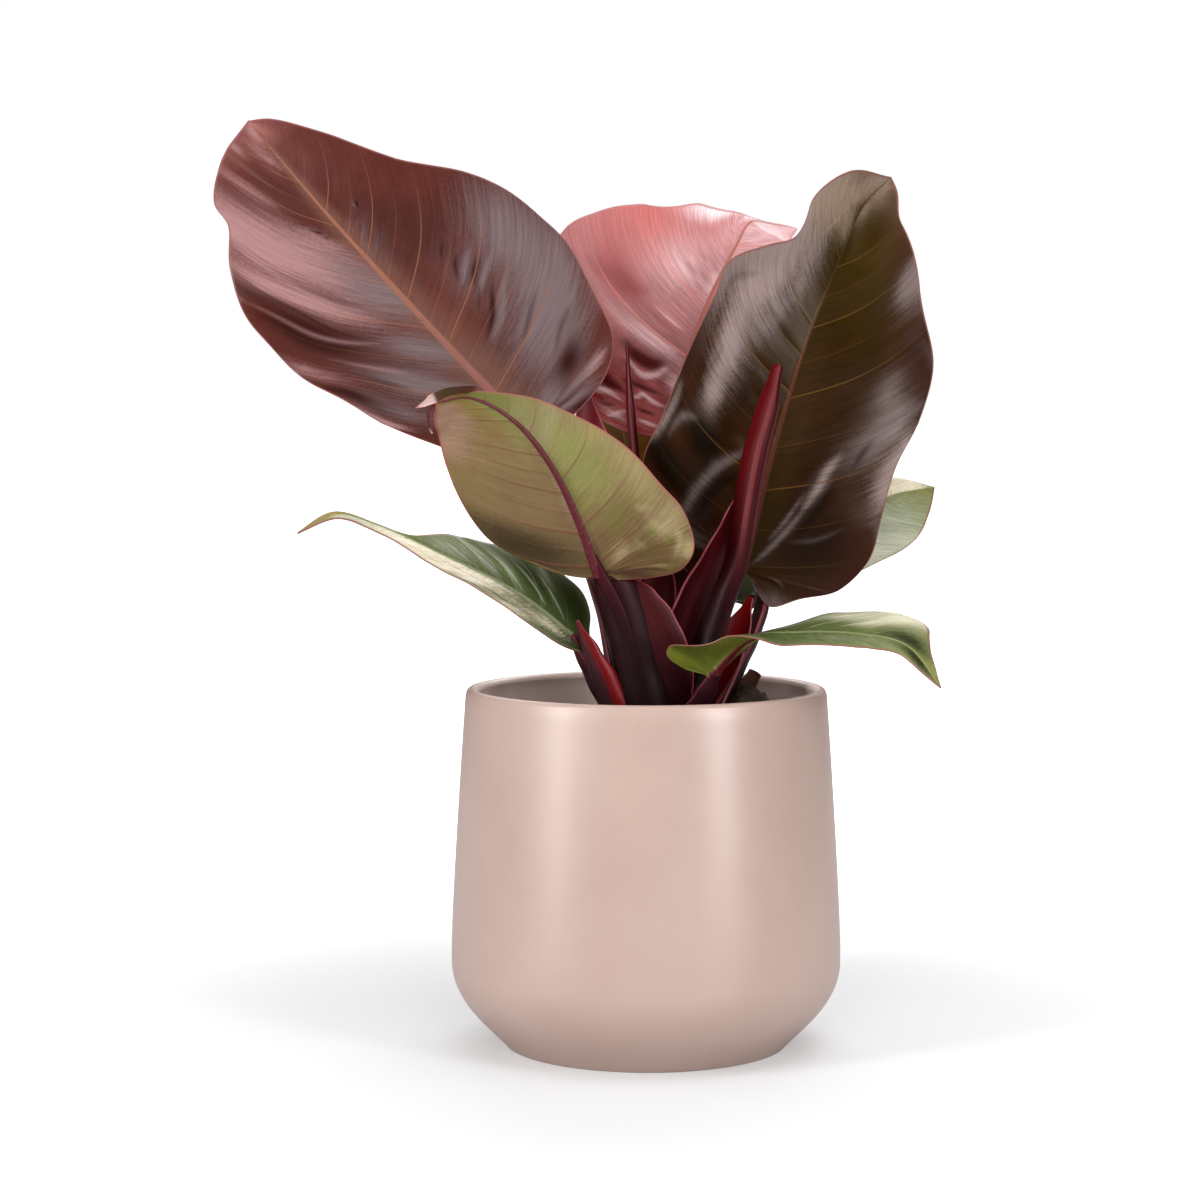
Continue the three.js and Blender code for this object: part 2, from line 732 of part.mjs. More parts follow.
function apart(a, b) {
  const [p, q] = [a.boundingBox(), b.boundingBox()];
  return [0, 1, 2].some((k) => p.max[k] + gap < q.min[k] || q.max[k] + gap < p.min[k]);
}

function clearOf(solid, others) {
  const close = others.filter((other) => !apart(other.swollen, solid));
  const cut = close.reduce((left, other) => left.subtract(other.swollen), solid);
  return close.length ? largest(cut) : solid;
}

place('crown', 0x3c1c1f, crown(), crown(gap), 0.7);
for (const [name, stem] of Object.entries(stems)) {
  place(name, stem.colour, clearOf(sweep(stem), bodies), sweep(stem, gap));
}
const rooted = [...bodies];
for (const [name, leaf] of Object.entries(leaves)) {
  place(name, leaf.colour, clearOf(blade(leaf), rooted));
}
place('soil', 0x2a211c, clearOf(soil(), rooted), null, 0.95);
place('pot', 0xd2b6aa, pot(), null, 0.4);

const plant = new THREE.Group();
for (const { name, colour, solid, roughness } of bodies) {
  const material = new THREE.MeshStandardMaterial({ color: colour, roughness, metalness: 0 });
  const mesh = new THREE.Mesh(geometryOf(solid), material);
  mesh.name = name;
  plant.add(mesh);
}

export default plant;
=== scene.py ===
import math

import bmesh
import bpy
import numpy as np
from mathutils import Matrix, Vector


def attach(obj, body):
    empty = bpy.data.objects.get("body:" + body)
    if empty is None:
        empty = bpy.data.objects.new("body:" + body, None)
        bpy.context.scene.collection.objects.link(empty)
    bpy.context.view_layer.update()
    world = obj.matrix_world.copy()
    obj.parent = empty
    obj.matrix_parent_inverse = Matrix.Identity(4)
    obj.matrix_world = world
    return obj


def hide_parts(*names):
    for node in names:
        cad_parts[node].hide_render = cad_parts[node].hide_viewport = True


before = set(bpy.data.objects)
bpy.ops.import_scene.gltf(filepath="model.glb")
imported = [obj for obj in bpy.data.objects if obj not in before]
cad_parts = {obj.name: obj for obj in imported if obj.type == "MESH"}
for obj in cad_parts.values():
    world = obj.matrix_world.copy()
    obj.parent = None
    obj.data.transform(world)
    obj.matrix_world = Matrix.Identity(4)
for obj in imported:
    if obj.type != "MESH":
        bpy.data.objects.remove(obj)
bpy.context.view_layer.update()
mm = 0.001
nearAxis = 0.01  # radius of the small ring that closes a turned shape
print("frame loaded:", len(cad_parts), "nodes")


# Camera: a square picture, a little above the rim, turned slightly to the left
camera = {
    "place": (0, -1161, 263.7),
    "pitchDown": 4.0,
    "turnLeft": 0.933,
    "focalPixels": 2843,
    "pictureWidth": 1200,
    "sensor": 36,
    "farthest": 100,  # metres
}


def makeCamera():
    data = bpy.data.cameras.new("studioCamera")
    data.sensor_width = camera["sensor"]
    data.lens = camera["focalPixels"] / camera["pictureWidth"] * camera["sensor"]
    data.clip_end = camera["farthest"]
    body = bpy.data.objects.new("studioCamera", data)
    body.location = Vector(camera["place"]) * mm
    body.rotation_euler = (
        math.radians(90 - camera["pitchDown"]), 0, math.radians(camera["turnLeft"]))
    bpy.context.scene.collection.objects.link(body)
    bpy.context.scene.camera = body


makeCamera()
print("camera placed")


# Colours are written as they look on a screen, 0 to 255
def paint(red, green, blue):
    def linear(value):
        value /= 255
        return value / 12.92 if value < 0.04045 else ((value + 0.055) / 1.055) ** 2.4
    return (linear(red), linear(green), linear(blue), 1)


# Sockets of a node: another node's output is linked, anything else is set
def fill(tree, made, inputs):
    for key, value in inputs.items():
        if isinstance(value, bpy.types.NodeSocket):
            tree.links.new(value, made.inputs[key])
        else:
            made.inputs[key].default_value = value


def addNode(tree, kind, inputs=None, **settings):
    made = tree.nodes.new(kind)
    for name, value in settings.items():
        setattr(made, name, value)
    fill(tree, made, inputs or {})
    return made


def newMaterial(name):
    material = bpy.data.materials.new(name)
    material.use_nodes = True
    tree = material.node_tree
    return material, tree, tree.nodes["Principled BSDF"]


def reading(tree, name, output="Fac"):
    return addNode(tree, "ShaderNodeAttribute", attribute_name=name).outputs[output]


def objectPlace(tree):
    return addNode(tree, "ShaderNodeTexCoord").outputs["Object"]


def maths(tree, operation, a, b=0.0):
    return addNode(tree, "ShaderNodeMath", {0: a, 1: b}, operation=operation).outputs[0]


def plus(tree, a, b):
    return maths(tree, "ADD", a, b)


def minus(tree, a, b):
    return maths(tree, "SUBTRACT", a, b)


def times(tree, a, b):
    return maths(tree, "MULTIPLY", a, b)


def band(tree, value, low, high, atLow=0.0, atHigh=1.0):
    return addNode(tree, "ShaderNodeMapRange", {
        "Value": value, "From Min": low, "From Max": high, "To Min": atLow, "To Max": atHigh,
    }, interpolation_type="SMOOTHSTEP").outputs[0]


def joinAxes(tree, x, y, z=0.0):
    return addNode(tree, "ShaderNodeCombineXYZ", {0: x, 1: y, 2: z}).outputs[0]


def grain(tree, where, scale, detail=3.0, rough=0.55):
    return addNode(tree, "ShaderNodeTexNoise", {
        "Vector": where, "Scale": scale, "Detail": detail, "Roughness": rough}).outputs[0]


def ramp(tree, value, stops):
    made = addNode(tree, "ShaderNodeValToRGB", {0: value})
    points = made.color_ramp.elements
    while len(points) < len(stops):
        points.new(0.5)
    for point, (place, colour) in zip(points, stops):
        point.position = place
        point.color = paint(*colour)
    return made.outputs[0]


# A tone, a screen colour or a socket, laid over a colour by a share
def laidOver(tree, colour, share, tone, way="MIX"):
    tone = tone if isinstance(tone, bpy.types.NodeSocket) else paint(*tone)
    return addNode(
        tree, "ShaderNodeMix", {0: share, 6: colour, 7: tone}, data_type="RGBA", blend_type=way).outputs[2]


# A colour made darker and lighter by a value from 0 to 1, by a depth in all
def shaded(tree, colour, value, depth):
    light = plus(tree, times(tree, value, depth), 1 - depth * 0.5)
    return laidOver(tree, colour, 1.0, light, "MULTIPLY")


def addBump(tree, shader, height, strength, distance):
    bump = addNode(tree, "ShaderNodeBump", {
        "Height": height, "Strength": strength, "Distance": distance * mm})
    tree.links.new(bump.outputs[0], shader.inputs["Normal"])


# Lights: two tall softboxes at the sides, one overhead, one high at the back, a front
# fill, and two wide boxes that show only as gleams on the glossy pieces
lights = {
    "leftSoftbox": {"place": (-1050, -780, 560), "size": (240, 1000), "power": 11},
    "rightSoftbox": {"place": (930, -900, 560), "size": (220, 1000), "power": 7.5},
    "overhead": {"place": (250, -250, 1500), "size": (1200, 900), "power": 8, "mirrored": False},
    "highBack": {"place": (150, 1100, 1000), "size": (1300, 700), "power": 9},
    "frontFill": {"place": (0, -1500, 720), "size": (900, 500), "power": 7, "mirrored": False},
    "leftGleam": {"place": (-1050, -780, 560), "size": (460, 1000), "power": 8, "spread": False},
    "rightGleam": {"place": (930, -900, 560), "size": (420, 1000), "power": 11, "spread": False},
}
aim = Vector((0, 0, 180)) * mm
# White room: its strength to the camera, as light and in reflections
room = {"seen": 1.0, "light": 0.36, "glossy": 0.05}
# Floor: pale, and glowing to the camera, more from nearTo out to farFrom, so it ends in white
floorLook = {
    "reach": 30000,
    "colour": (204, 205, 207),
    "roughness": 0.8,
    "shine": 0.2,
    "glowNear": 0.24,
    "glowFar": 1.2,
    "nearTo": 120,
    "farFrom": 700,
}


def makeLights():
    for name, look in lights.items():
        data = bpy.data.lights.new(name, "AREA")
        data.shape = "RECTANGLE"
        data.size, data.size_y = look["size"][0] * mm, look["size"][1] * mm
        data.energy = look["power"]
        body = bpy.data.objects.new(name, data)
        body.location = Vector(look["place"]) * mm
        body.rotation_euler = (aim - body.location).to_track_quat("-Z", "Y").to_euler()
        body.visible_glossy = look.get("mirrored", True)
        body.visible_diffuse = look.get("spread", True)
        bpy.context.scene.collection.objects.link(body)


def makeRoom():
    world = bpy.data.worlds.new("whiteStudio")
    world.use_nodes = True
    bpy.context.scene.world = world
    tree = world.node_tree
    path = addNode(tree, "ShaderNodeLightPath").outputs
    soft = band(tree, path["Is Glossy Ray"], 0, 1, room["light"], room["glossy"])
    strength = addNode(tree, "ShaderNodeMapRange", {
        "Value": path["Is Camera Ray"], "To Min": soft, "To Max": room["seen"]})
    fill(tree, tree.nodes["Background"], {"Strength": strength.outputs[0], "Color": (1, 1, 1, 1)})
    bpy.context.scene.view_settings.view_transform = "Standard"


def makeFloor():
    reach = floorLook["reach"] * mm
    mesh = bpy.data.meshes.new("studioFloor")
    mesh.from_pydata(
        [(-reach, -reach, 0), (reach, -reach, 0), (reach, reach, 0), (-reach, reach, 0)],
        [], [(0, 1, 2, 3)])
    body = bpy.data.objects.new("studioFloor", mesh)
    bpy.context.scene.collection.objects.link(body)
    material, tree, shader = newMaterial("paleFloor")
    away = addNode(tree, "ShaderNodeVectorMath", {0: objectPlace(tree)}, operation="LENGTH")
    glow = band(tree, away.outputs["Value"], floorLook["nearTo"] * mm, floorLook["farFrom"] * mm,
                floorLook["glowNear"], floorLook["glowFar"])
    seen = addNode(tree, "ShaderNodeLightPath").outputs["Is Camera Ray"]
    fill(tree, shader, {
        "Base Color": paint(*floorLook["colour"]),
        "Roughness": floorLook["roughness"],
        "Specular IOR Level": floorLook["shine"],
        "Emission Color": (1, 1, 1, 1),
        "Emission Strength": times(tree, glow, seen),
    })
    mesh.materials.append(material)


makeLights()
makeRoom()
makeFloor()
print("lights and floor placed")


# A mesh from millimetre points, welded, smooth, with its readings kept for the finish
def makePiece(name, points, faces, material, nodes, readings=None, weld=0.002):
    mesh = bpy.data.meshes.new(name)
    mesh.from_pydata((np.asarray(points) * mm).tolist(), [], faces)
    for key, values in (readings or {}).items():
        values = np.asarray(values, np.float32)
        isTone = values.ndim == 2
        layer = mesh.attributes.new(key, "FLOAT_COLOR" if isTone else "FLOAT", "POINT")
        layer.data.foreach_set("color" if isTone else "value", values.ravel())
    work = bmesh.new()
    work.from_mesh(mesh)
    bmesh.ops.remove_doubles(work, verts=work.verts, dist=weld * mm)
    bmesh.ops.dissolve_degenerate(work, edges=work.edges, dist=weld * mm)
    work.to_mesh(mesh)
    work.free()
    mesh.polygons.foreach_set("use_smooth", [True] * len(mesh.polygons))
    mesh.materials.append(material)
    piece = bpy.data.objects.new(name, mesh)
    bpy.context.scene.collection.objects.link(piece)
    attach(piece, "root")
    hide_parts(*nodes)


coarseWeld = 0.02  # for pieces that close in a ring at their axis


# Pot: a cone from the foot, a round shoulder, then a wall that draws in to the rim
pot = {
    "height": 146.8,
    "rimRadius": 73.8,
    "rimRound": 2.4,
    "waistRadius": 80,
    "waistHeight": 41,
    "footRadius": 58.6,
    "footHeight": 0.8,
    "footEdge": [(1.2, 0), (0.5, 0.15), (0, 0.8)],  # in from the foot's radius, and up
    "shoulderRound": 12,
    "wall": 5.2,
    "wallCurve": 1.25,
    "floorThickness": 7,
    "floorRound": 3,
    "insideFrom": 18,
    "lowRings": (3, 60, 1.5),  # from, to and apart
    "highRings": (60, 4),  # from and apart, up to the rim
    "rimSteps": 16,
    "sides": 192,
    "glaze": (185, 160, 149),
    "glazeDeep": (179, 153, 142),
    # lighter colour inside the pot: painted light on its shaded inner wall
    "insidePaintedLight": (238, 212, 202),
    "insideFrame": (0.3, 0.9),  # frames say where a layer starts and where it is full
    "cloudScale": 14,
    "cloudFrame": (0.3, 0.7),
    "speck": (154, 126, 116),
    "speckScale": 420,
    "speckFrame": (0.62, 0.8, 0.0, 0.16),
    "roughness": 0.32,
    "bump": (0.06, 0.4),
}


def potRadius(z):
    cone = pot["footRadius"] + z - pot["footHeight"]
    rise = max(0, (z - pot["waistHeight"]) / (pot["height"] - pot["waistHeight"]))
    side = pot["waistRadius"] - (pot["waistRadius"] - pot["rimRadius"]) * rise ** pot["wallCurve"]
    near = max(0, pot["shoulderRound"] - abs(cone - side)) / pot["shoulderRound"]
    return min(cone, side) - near * near * pot["shoulderRound"] / 4


def potProfile():
    top, wall, lip, base = pot["height"], pot["wall"], pot["rimRound"], pot["floorThickness"]
    start, apart = pot["highRings"]
    heights = [*np.arange(*pot["lowRings"]), *np.arange(start, top - lip, apart)]
    foot = [(nearAxis, 0)] + [(pot["footRadius"] - back, z) for back, z in pot["footEdge"]]
    outside = [(potRadius(z), z) for z in heights]
    rim, steps = [], pot["rimSteps"]
    for k in range(steps + 1):
        angle = math.pi * k / steps
        reach = lip if k < steps / 2 else wall - lip
        middle = potRadius(top) - lip
        rim.append((middle + reach * math.cos(angle), top - lip + lip * math.sin(angle)))
    inside = [(potRadius(z) - wall, z) for z in reversed(heights) if pot["insideFrom"] < z < top - lip]
    bottom = [(potRadius(base) - wall - pot["floorRound"], base), (nearAxis, base)]
    return [*foot, *outside, *rim, *inside, *bottom]


def turnedRing(radius, height, sides):
    turns = 2 * np.pi * np.arange(sides) / sides
    return np.stack([radius * np.cos(turns), radius * np.sin(turns), np.full(sides, height)], 1)


# Faces between rings of points that follow each other
def ringFaces(total, ring):
    grid = np.arange(total).reshape(-1, ring)
    after = np.roll(grid, -1, axis=1)
    return np.stack([grid[:-1], grid[1:], after[1:], after[:-1]], -1).reshape(-1, 4)


def lathe(profile, sides):
    points = np.vstack([turnedRing(radius, height, sides) for radius, height in profile])
    return points, ringFaces(len(points), sides)[:, [0, 3, 2, 1]].tolist()


def glazeMaterial():
    material, tree, shader = newMaterial("mattePinkGlaze")
    place = objectPlace(tree)
    cloudy = grain(tree, place, pot["cloudScale"], 4)
    fine = grain(tree, place, pot["speckScale"], 4, 0.7)
    colour = laidOver(tree, paint(*pot["glazeDeep"]), band(tree, cloudy, *pot["cloudFrame"]), pot["glaze"])
    colour = laidOver(tree, colour, band(tree, fine, *pot["speckFrame"]), pot["speck"])
    # the inside laid lighter: painted light on the pot's shaded inner wall
    inside = band(tree, reading(tree, "inside"), *pot["insideFrame"])
    colour = laidOver(tree, colour, inside, pot["insidePaintedLight"])
    roughness = pot["roughness"]
    fill(tree, shader, {
        "Base Color": colour,
        "Roughness": band(tree, cloudy, 0.2, 0.8, roughness - 0.03, roughness + 0.04),
    })
    addBump(tree, shader, fine, *pot["bump"])
    return material


def makePot():
    points, faces = lathe(potProfile(), pot["sides"])
    away = np.hypot(points[:, 0], points[:, 1])
    middle = np.array([potRadius(z) for z in points[:, 2]]) - pot["wall"] / 2
    readings = {"inside": (away < middle) & (points[:, 2] > pot["floorThickness"] - 1)}
    makePiece("glazedPot", points, faces, glazeMaterial(), ["pot"], readings, coarseWeld)


makePot()
print("pot made")


stepsBetween = 50  # fine steps between two given points of a smooth line


# Even points along a smooth line through a few given ones, and its length
def smoothLine(points, count):
    p = np.asarray(points, float)
    p = np.vstack([2 * p[0] - p[1], p, 2 * p[-1] - p[-2]])
    t = np.linspace(0, 1, stepsBetween, endpoint=False)[:, None]
    fine = []
    for before, start, end, after in zip(p, p[1:], p[2:], p[3:]):
        pairs = ((before, start), (start, end), (end, after))
        gaps = [max(np.linalg.norm(b - a), 1e-6) ** 0.5 for a, b in pairs]
        leave = (start - before) / gaps[0] - (end - before) / (gaps[0] + gaps[1]) + (end - start) / gaps[1]
        arrive = (end - start) / gaps[1] - (after - start) / (gaps[1] + gaps[2]) + (after - end) / gaps[2]
        fine.append((2 * t**3 - 3 * t**2 + 1) * start + (t**3 - 2 * t**2 + t) * leave * gaps[1]
                    + (3 * t**2 - 2 * t**3) * end + (t**3 - t**2) * arrive * gaps[1])
    fine = np.vstack([*fine, p[-2:-1]])
    run = np.r_[0, np.cumsum(np.linalg.norm(np.diff(fine, axis=0), axis=1))]
    even = np.linspace(0, run[-1], count)
    return np.stack([np.interp(even, run, fine[:, k]) for k in range(fine.shape[1])], 1), run[-1]


def unit(v):
    return v / np.maximum(np.linalg.norm(v, axis=-1, keepdims=True), 1e-12)


# Values at even stations, eased between them
def eased(stations, t):
    stations = np.asarray(stations, float)
    if len(stations) == 1:
        return np.full_like(t, stations[0])
    k = np.clip(t, 0, 1) * (len(stations) - 1)
    i = np.minimum(k.astype(int), len(stations) - 2)
    f = k - i
    f = f * f * (3 - 2 * f)
    return stations[i] * (1 - f) + stations[i + 1] * f


# Leaves. midrib runs from the stalk to the tip and face is the way the upper side looks.
# Each half has its outline as (along the midrib, out from it), the angle it leaves the
# midrib at and its further bend, base to tip, the height, count and start of its waves,
# and how far its side veins lead on, base to tip, per millimetre out. veins are the roots
# of the main ones. Tints are (name, root along the midrib, width, place across, reach,
# strength). Strokes are drawn lines: (name, width, strength, rise, points of root and
# place across). Both follow the side veins. Besides the leaf's own colours, many tints
# and strokes are painted light: sheens and highlights, and painted shade beside folds.
leaves = {}
leaves["burgundyLeaf"] = {
    "node": "leaf_upper_left", "slot": "burgundy_leaf", "look": "burgundyLeaf",
    "midrib": [(-48, 14, 251), (-69, 20, 272), (-103, 32, 308), (-138, 45, 346), (-170, 60, 383)],
    "face": (0, -1, 0.35), "halfWidth": 62, "rib": 2.15, "seed": 3, "rumple": 0.35,
    "left": {
        "outline": [
            (-5, 8), (-4, 22), (5, 34), (17, 40), (31, 46), (54, 54), (84, 57), (113, 56), (135, 47),
            (150, 36), (163, 34), (178, 19),
        ],
        "fold": [35, 28, 16, 8, 4], "bend": [-10, -14, -18, -12, -8],
        "wave": (2.5, 4, 0.1), "lead": (0.8, 3.4),
        "veins": [-60, -34, -12, 6, 22, 40, 61, 74, 87, 104, 122, 134, 148, 162],
        "strokes": [
            ("shade", 1.2, 0.7, -0.4, [(59, 1), (54, 0.8), (50, 0.6), (49, 0.45)]),
            ("sheen", 1.4, 0.4, 0.3, [(47, 0.95), (44.5, 0.8), (45, 0.6), (47, 0.45)]),
            ("shade", 1.3, 0.9, -0.4, [(114, 0.42), (113, 0.34), (115, 0.26)]),
            ("shade", 0.9, 0.8, -0.3, [(110, 0.3), (112, 0.24)]),
            ("sheen", 1.4, 0.35, 0.3, [(33, 0.75), (31, 0.6), (31, 0.45)]),
            ("shade", 1.8, 0.5, -0.3, [(27, 0.8), (24, 0.65), (23, 0.5)]),
            ("sheen", 1, 0.3, 0.2, [(72, 0.95), (66, 0.7), (64, 0.4)]),
            ("shade", 1, 0.25, -0.2, [(76, 0.95), (70, 0.7), (68, 0.45)]),
        ],
        "tintsAndPaintedLight": [
            ("sheen", 88, 20, 0.72, 0.55, 0.9), ("greySheen", 80, 18, 0.2, 0.3, 0.8),
            ("sheen", 61, 6, 0.75, 0.35, 0.9), ("greySheen", 46, 9, 0.2, 0.28, 0.9),
            ("greySheen", 26, 9, 0.4, 0.3, 0.9), ("sheen", 0, 5, 0.97, 0.12, 0.9),
            ("greySheen", 10, 7, 0.7, 0.2, 0.6), ("sheen", 106, 8, 0.4, 0.3, 0.5),
            ("sheen", 120, 5, 0.85, 0.25, 0.5), ("sheen", 158, 8, 0.5, 0.5, 0.5),
            ("shade", 43, 9, 0.76, 0.22, 1), ("shade", 53, 4, 0.94, 0.14, 0.6),
            ("shade", 12, 5, 0.9, 0.12, 0.9), ("shade", 136, 10, 0.6, 0.35, 0.45),
            ("shade", 108, 5, 0.9, 0.15, 0.4), ("sheen", 22, 5, 0.92, 0.12, 0.5),
            ("sheen", 176, 9, 0.6, 0.6, 0.6), ("sheen", 146, 5, 0.97, 0.1, 0.6),
            ("sheen", 80, 9, 0.92, 0.16, 1),
        ],
    },
    "right": {
        "outline": [
            (-7, 9), (-7.5, 24), (-4, 40), (7, 54), (34, 63), (59, 69), (83, 67), (104, 57), (129, 39),
            (161, 21), (180, 8),
        ],
        "fold": [10, 10, 8, 6, 4], "bend": [-16, -20, -20, -12, -8],
        "wave": (2.5, 3, 0.6), "lead": (0.3, 2.4),
        "veins": [-44, -22, -6, 8, 22, 39, 51, 63, 77, 90, 103, 116, 130, 146],
        "strokes": [
            ("shade", 1.8, 0.9, -0.5, [(36, 0.2), (38, 0.34), (42, 0.46), (43, 0.52)]),
            ("greySheen", 1.6, 0.7, 0.4, [(33, 0.22), (34, 0.36), (38, 0.52), (38, 0.62)]),
            ("shade", 1.8, 0.9, -0.5, [(50, 0.44), (51.5, 0.52), (51, 0.6)]),
            ("greySheen", 1.5, 0.6, 0.4, [(46.5, 0.38), (47, 0.5), (46.5, 0.6), (45, 0.68)]),
            ("shade", 1.5, 0.8, -0.5, [(57, 0.4), (60, 0.5), (60, 0.58)]),
            ("greySheen", 1.3, 0.5, 0.3, [(54, 0.4), (55.5, 0.52), (55, 0.64)]),
            ("shade", 1.2, 0.7, -0.3, [(66, 0.46), (67, 0.54), (66, 0.62)]),
            ("shade", 1.3, 0.6, -0.3, [(44, 0.3), (46, 0.38), (48, 0.46)]),
            ("shade", 1.3, 0.5, -0.3, [(10, 0.5), (12, 0.62), (12, 0.74)]),
            ("shade", 1.3, 0.5, -0.3, [(22, 0.34), (25, 0.5), (26, 0.62)]),
            ("shade", 1.7, 1, 0.5, [(112.5, 0.44), (112.5, 0.5)]),
        ],
        "tintsAndPaintedLight": [
            ("greySheen", 18, 17, 0.62, 0.42, 1), ("sheen", -12, 4, 0.75, 0.16, 0.8),
            ("greySheen", -12, 6, 0.5, 0.3, 0.8), ("greySheen", 40, 22, 0.8, 0.24, 0.8),
            ("greySheen", 56, 14, 0.42, 0.2, 0.4), ("greySheen", 104, 18, 0.2, 0.25, 0.35),
            ("greySheen", -28, 9, 0.6, 0.4, 0.9), ("shade", 3.5, 4.5, 0.53, 0.16, 1),
            ("shade", 88, 16, 0.5, 0.3, 0.3), ("greySheen", 0, 6, 0.25, 0.15, 0.8),
            ("shade", -22, 4, 0.5, 0.16, 0.6), ("shade", -34, 5, 0.95, 0.2, 0.9),
        ],
    },
}
leaves["darkLeaf"] = {
    "node": "leaf_upper_right", "slot": "dark_leaf", "look": "darkLeaf",
    "midrib": [(40, 10, 194), (51, 8, 240), (65, 14, 286), (80, 24, 323), (91, 32, 346), (102, 36, 357)],
    "face": (0.1, -1, 0.25), "halfWidth": 52, "rib": 1.5, "seed": 11, "rumple": 0.3,
    "left": {
        "outline": [
            (-8, 8), (-7, 20), (4, 34), (18, 44), (35, 51), (52, 48), (81, 45), (103, 43), (115, 43),
            (124, 34), (132, 26), (149, 28), (164, 20), (176, 5),
        ],
        "fold": [10, 10, 10, 20, 50, 55], "bend": [-20],
        "wave": (2, 4, 0.3), "lead": (0.45, 1.3),
        "veins": [-44, -20, 2, 19, 38, 56, 76, 92, 106, 122, 136, 150],
        "strokes": [
            ("mauve", 2.2, 0.85, 0.6, [(7, 0.6), (12, 0.565), (21, 0.53),
                                       (32, 0.43), (39, 0.32), (44, 0.22)]),
            ("shade", 2.2, 0.8, -0.5, [(10, 0.5), (16, 0.46), (24, 0.4), (31, 0.3), (36, 0.18)]),
            ("sheen", 1.7, 0.6, 0.4, [(17, 1), (25, 0.97), (33, 0.95), (40, 0.95)]),
            ("mauve", 1.5, 0.6, 0.4, [(24, 0.9), (30, 0.88), (35, 0.83), (39, 0.74)]),
            ("shade", 1.3, 0.6, -0.4, [(21, 0.93), (28, 0.92), (36, 0.9), (42, 0.88)]),
            ("shade", 1.2, 0.4, -0.3, [(52, 0.8), (60, 0.76), (66, 0.75)]),
            ("shade", 1.2, 0.35, -0.3, [(72, 0.9), (82, 0.9), (92, 0.86)]),
            ("beigeAndSheen", 1.6, 0.6, 0.3, [(132, 0.85), (142, 0.8), (154, 0.8)]),
            ("beigeAndSheen", 1.4, 0.5, 0.3, [(128, 0.6), (140, 0.55), (152, 0.55)]),
        ],
        "tintsAndPaintedLight": [
            ("sheen", 94, 16, 0.8, 0.22, 1), ("sheen", 70, 14, 0.69, 0.15, 1),
            ("sheen", 52, 9, 0.68, 0.1, 0.8), ("sheen", 108, 15, 0.95, 0.2, 1),
            ("sheen", 120, 12, 0.6, 0.35, 0.7), ("mauve", 92, 20, 0.5, 0.14, 0.6),
            ("shade", 36, 8, 0.64, 0.2, 1), ("shade", 60, 10, 0.42, 0.1, 0.6),
            ("shade", 17, 7, 0.8, 0.35, 0.9), ("mauve", 78, 18, 0.97, 0.07, 0.7),
            ("rust", 50, 12, 0.97, 0.07, 0.8), ("shade", 70, 24, 0.15, 0.14, 0.7),
            ("mauve", 2, 6, 0.5, 0.35, 0.4), ("beigeAndSheen", 150, 16, 0.7, 0.35, 0.8),
            ("beigeAndSheen", 124, 14, 0.97, 0.12, 0.95), ("beigeAndSheen", 170, 11, 0.7, 0.6, 1),
            ("beigeAndSheen", 136, 12, 0.85, 0.28, 0.9), ("beigeAndSheen", 147, 8, 0.25, 0.25, 0.6),
            ("sheen", 106, 24, 1, 0.09, 0.9), ("olive", 100, 26, 0.1, 0.2, 0.8),
        ],
    },
    "right": {
        "outline": [
            (-7, 7), (-12, 14), (-6, 26), (1, 41), (15, 50), (35, 51), (59, 51), (82, 55), (107, 53),
            (134, 38), (162, 20), (176, 8),
        ],
        "fold": [8], "bend": [-25, -20, -18, -15, -10],
        "wave": (2, 4, 0.8), "lead": (0.3, 2.3),
        "veins": [-36, -14, 2, 17, 34, 52, 73, 88, 104, 118, 132, 150],
        "strokes": [
            ("sheen", 2.6, 0.85, 0.8, [(43, 0.48), (37, 0.42), (31, 0.41), (25, 0.36)]),
            ("mauve", 1.5, 0.8, 0.6, [(26, 0.38), (20, 0.31), (14, 0.23), (8, 0.14), (3, 0.06)]),
            ("mauve", 1.2, 0.6, 0.4, [(32, 0.34), (26, 0.29), (20, 0.23), (13, 0.14)]),
            ("shade", 1.8, 0.7, -0.5, [(40, 0.38), (33, 0.35), (28, 0.31)]),
            ("shade", 2.2, 0.7, -0.5, [(34, 0.54), (28, 0.5), (22, 0.44), (15, 0.34)]),
            ("shade", 1.8, 0.7, -0.4, [(36, 0.62), (40, 0.64), (44, 0.68)]),
            ("mauve", 1.1, 0.5, 0.2, [(-12, 0.25), (-20, 0.45), (-26, 0.7)]),
            ("mauve", 1, 0.25, 0.2, [(12, 0.3), (12, 0.5), (14, 0.7)]),
        ],
        "tintsAndPaintedLight": [
            ("sheen", 30, 9, 0.97, 0.14, 0.9), ("mauve", 46, 10, 0.77, 0.14, 1),
            ("mauve", 61, 8, 0.76, 0.1, 0.7), ("mauve", 98, 10, 0.96, 0.12, 1),
            ("bronze", 78, 50, 0.1, 0.2, 0.6), ("bronze", 60, 30, 0.5, 0.3, 0.5),
            ("shade", 8, 14, 0.5, 0.4, 0.6), ("bronze", -8, 10, 0.4, 0.3, 0.5),
            ("rust", 68, 14, 0.96, 0.1, 0.8), ("bronze", -32, 8, 0.5, 0.5, 0.9),
            ("beigeAndSheen", 172, 9, 0.5, 0.8, 0.6), ("mauve", -36, 6, 0.95, 0.2, 0.8),
            ("beigeAndSheen", 158, 8, 0.2, 0.25, 0.7), ("mauve", 43, 8, 0.64, 0.16, 0.5),
            ("olive", 151, 10, 0.5, 0.5, 0.5), ("olive", 138, 14, 0.62, 0.35, 0.8),
            ("olive", 114, 12, 0.5, 0.2, 0.6), ("umber", -43, 9, 0.45, 0.6, 0.9),
            ("sheen", 22, 7, 1, 0.1, 0.9),
        ],
    },
}
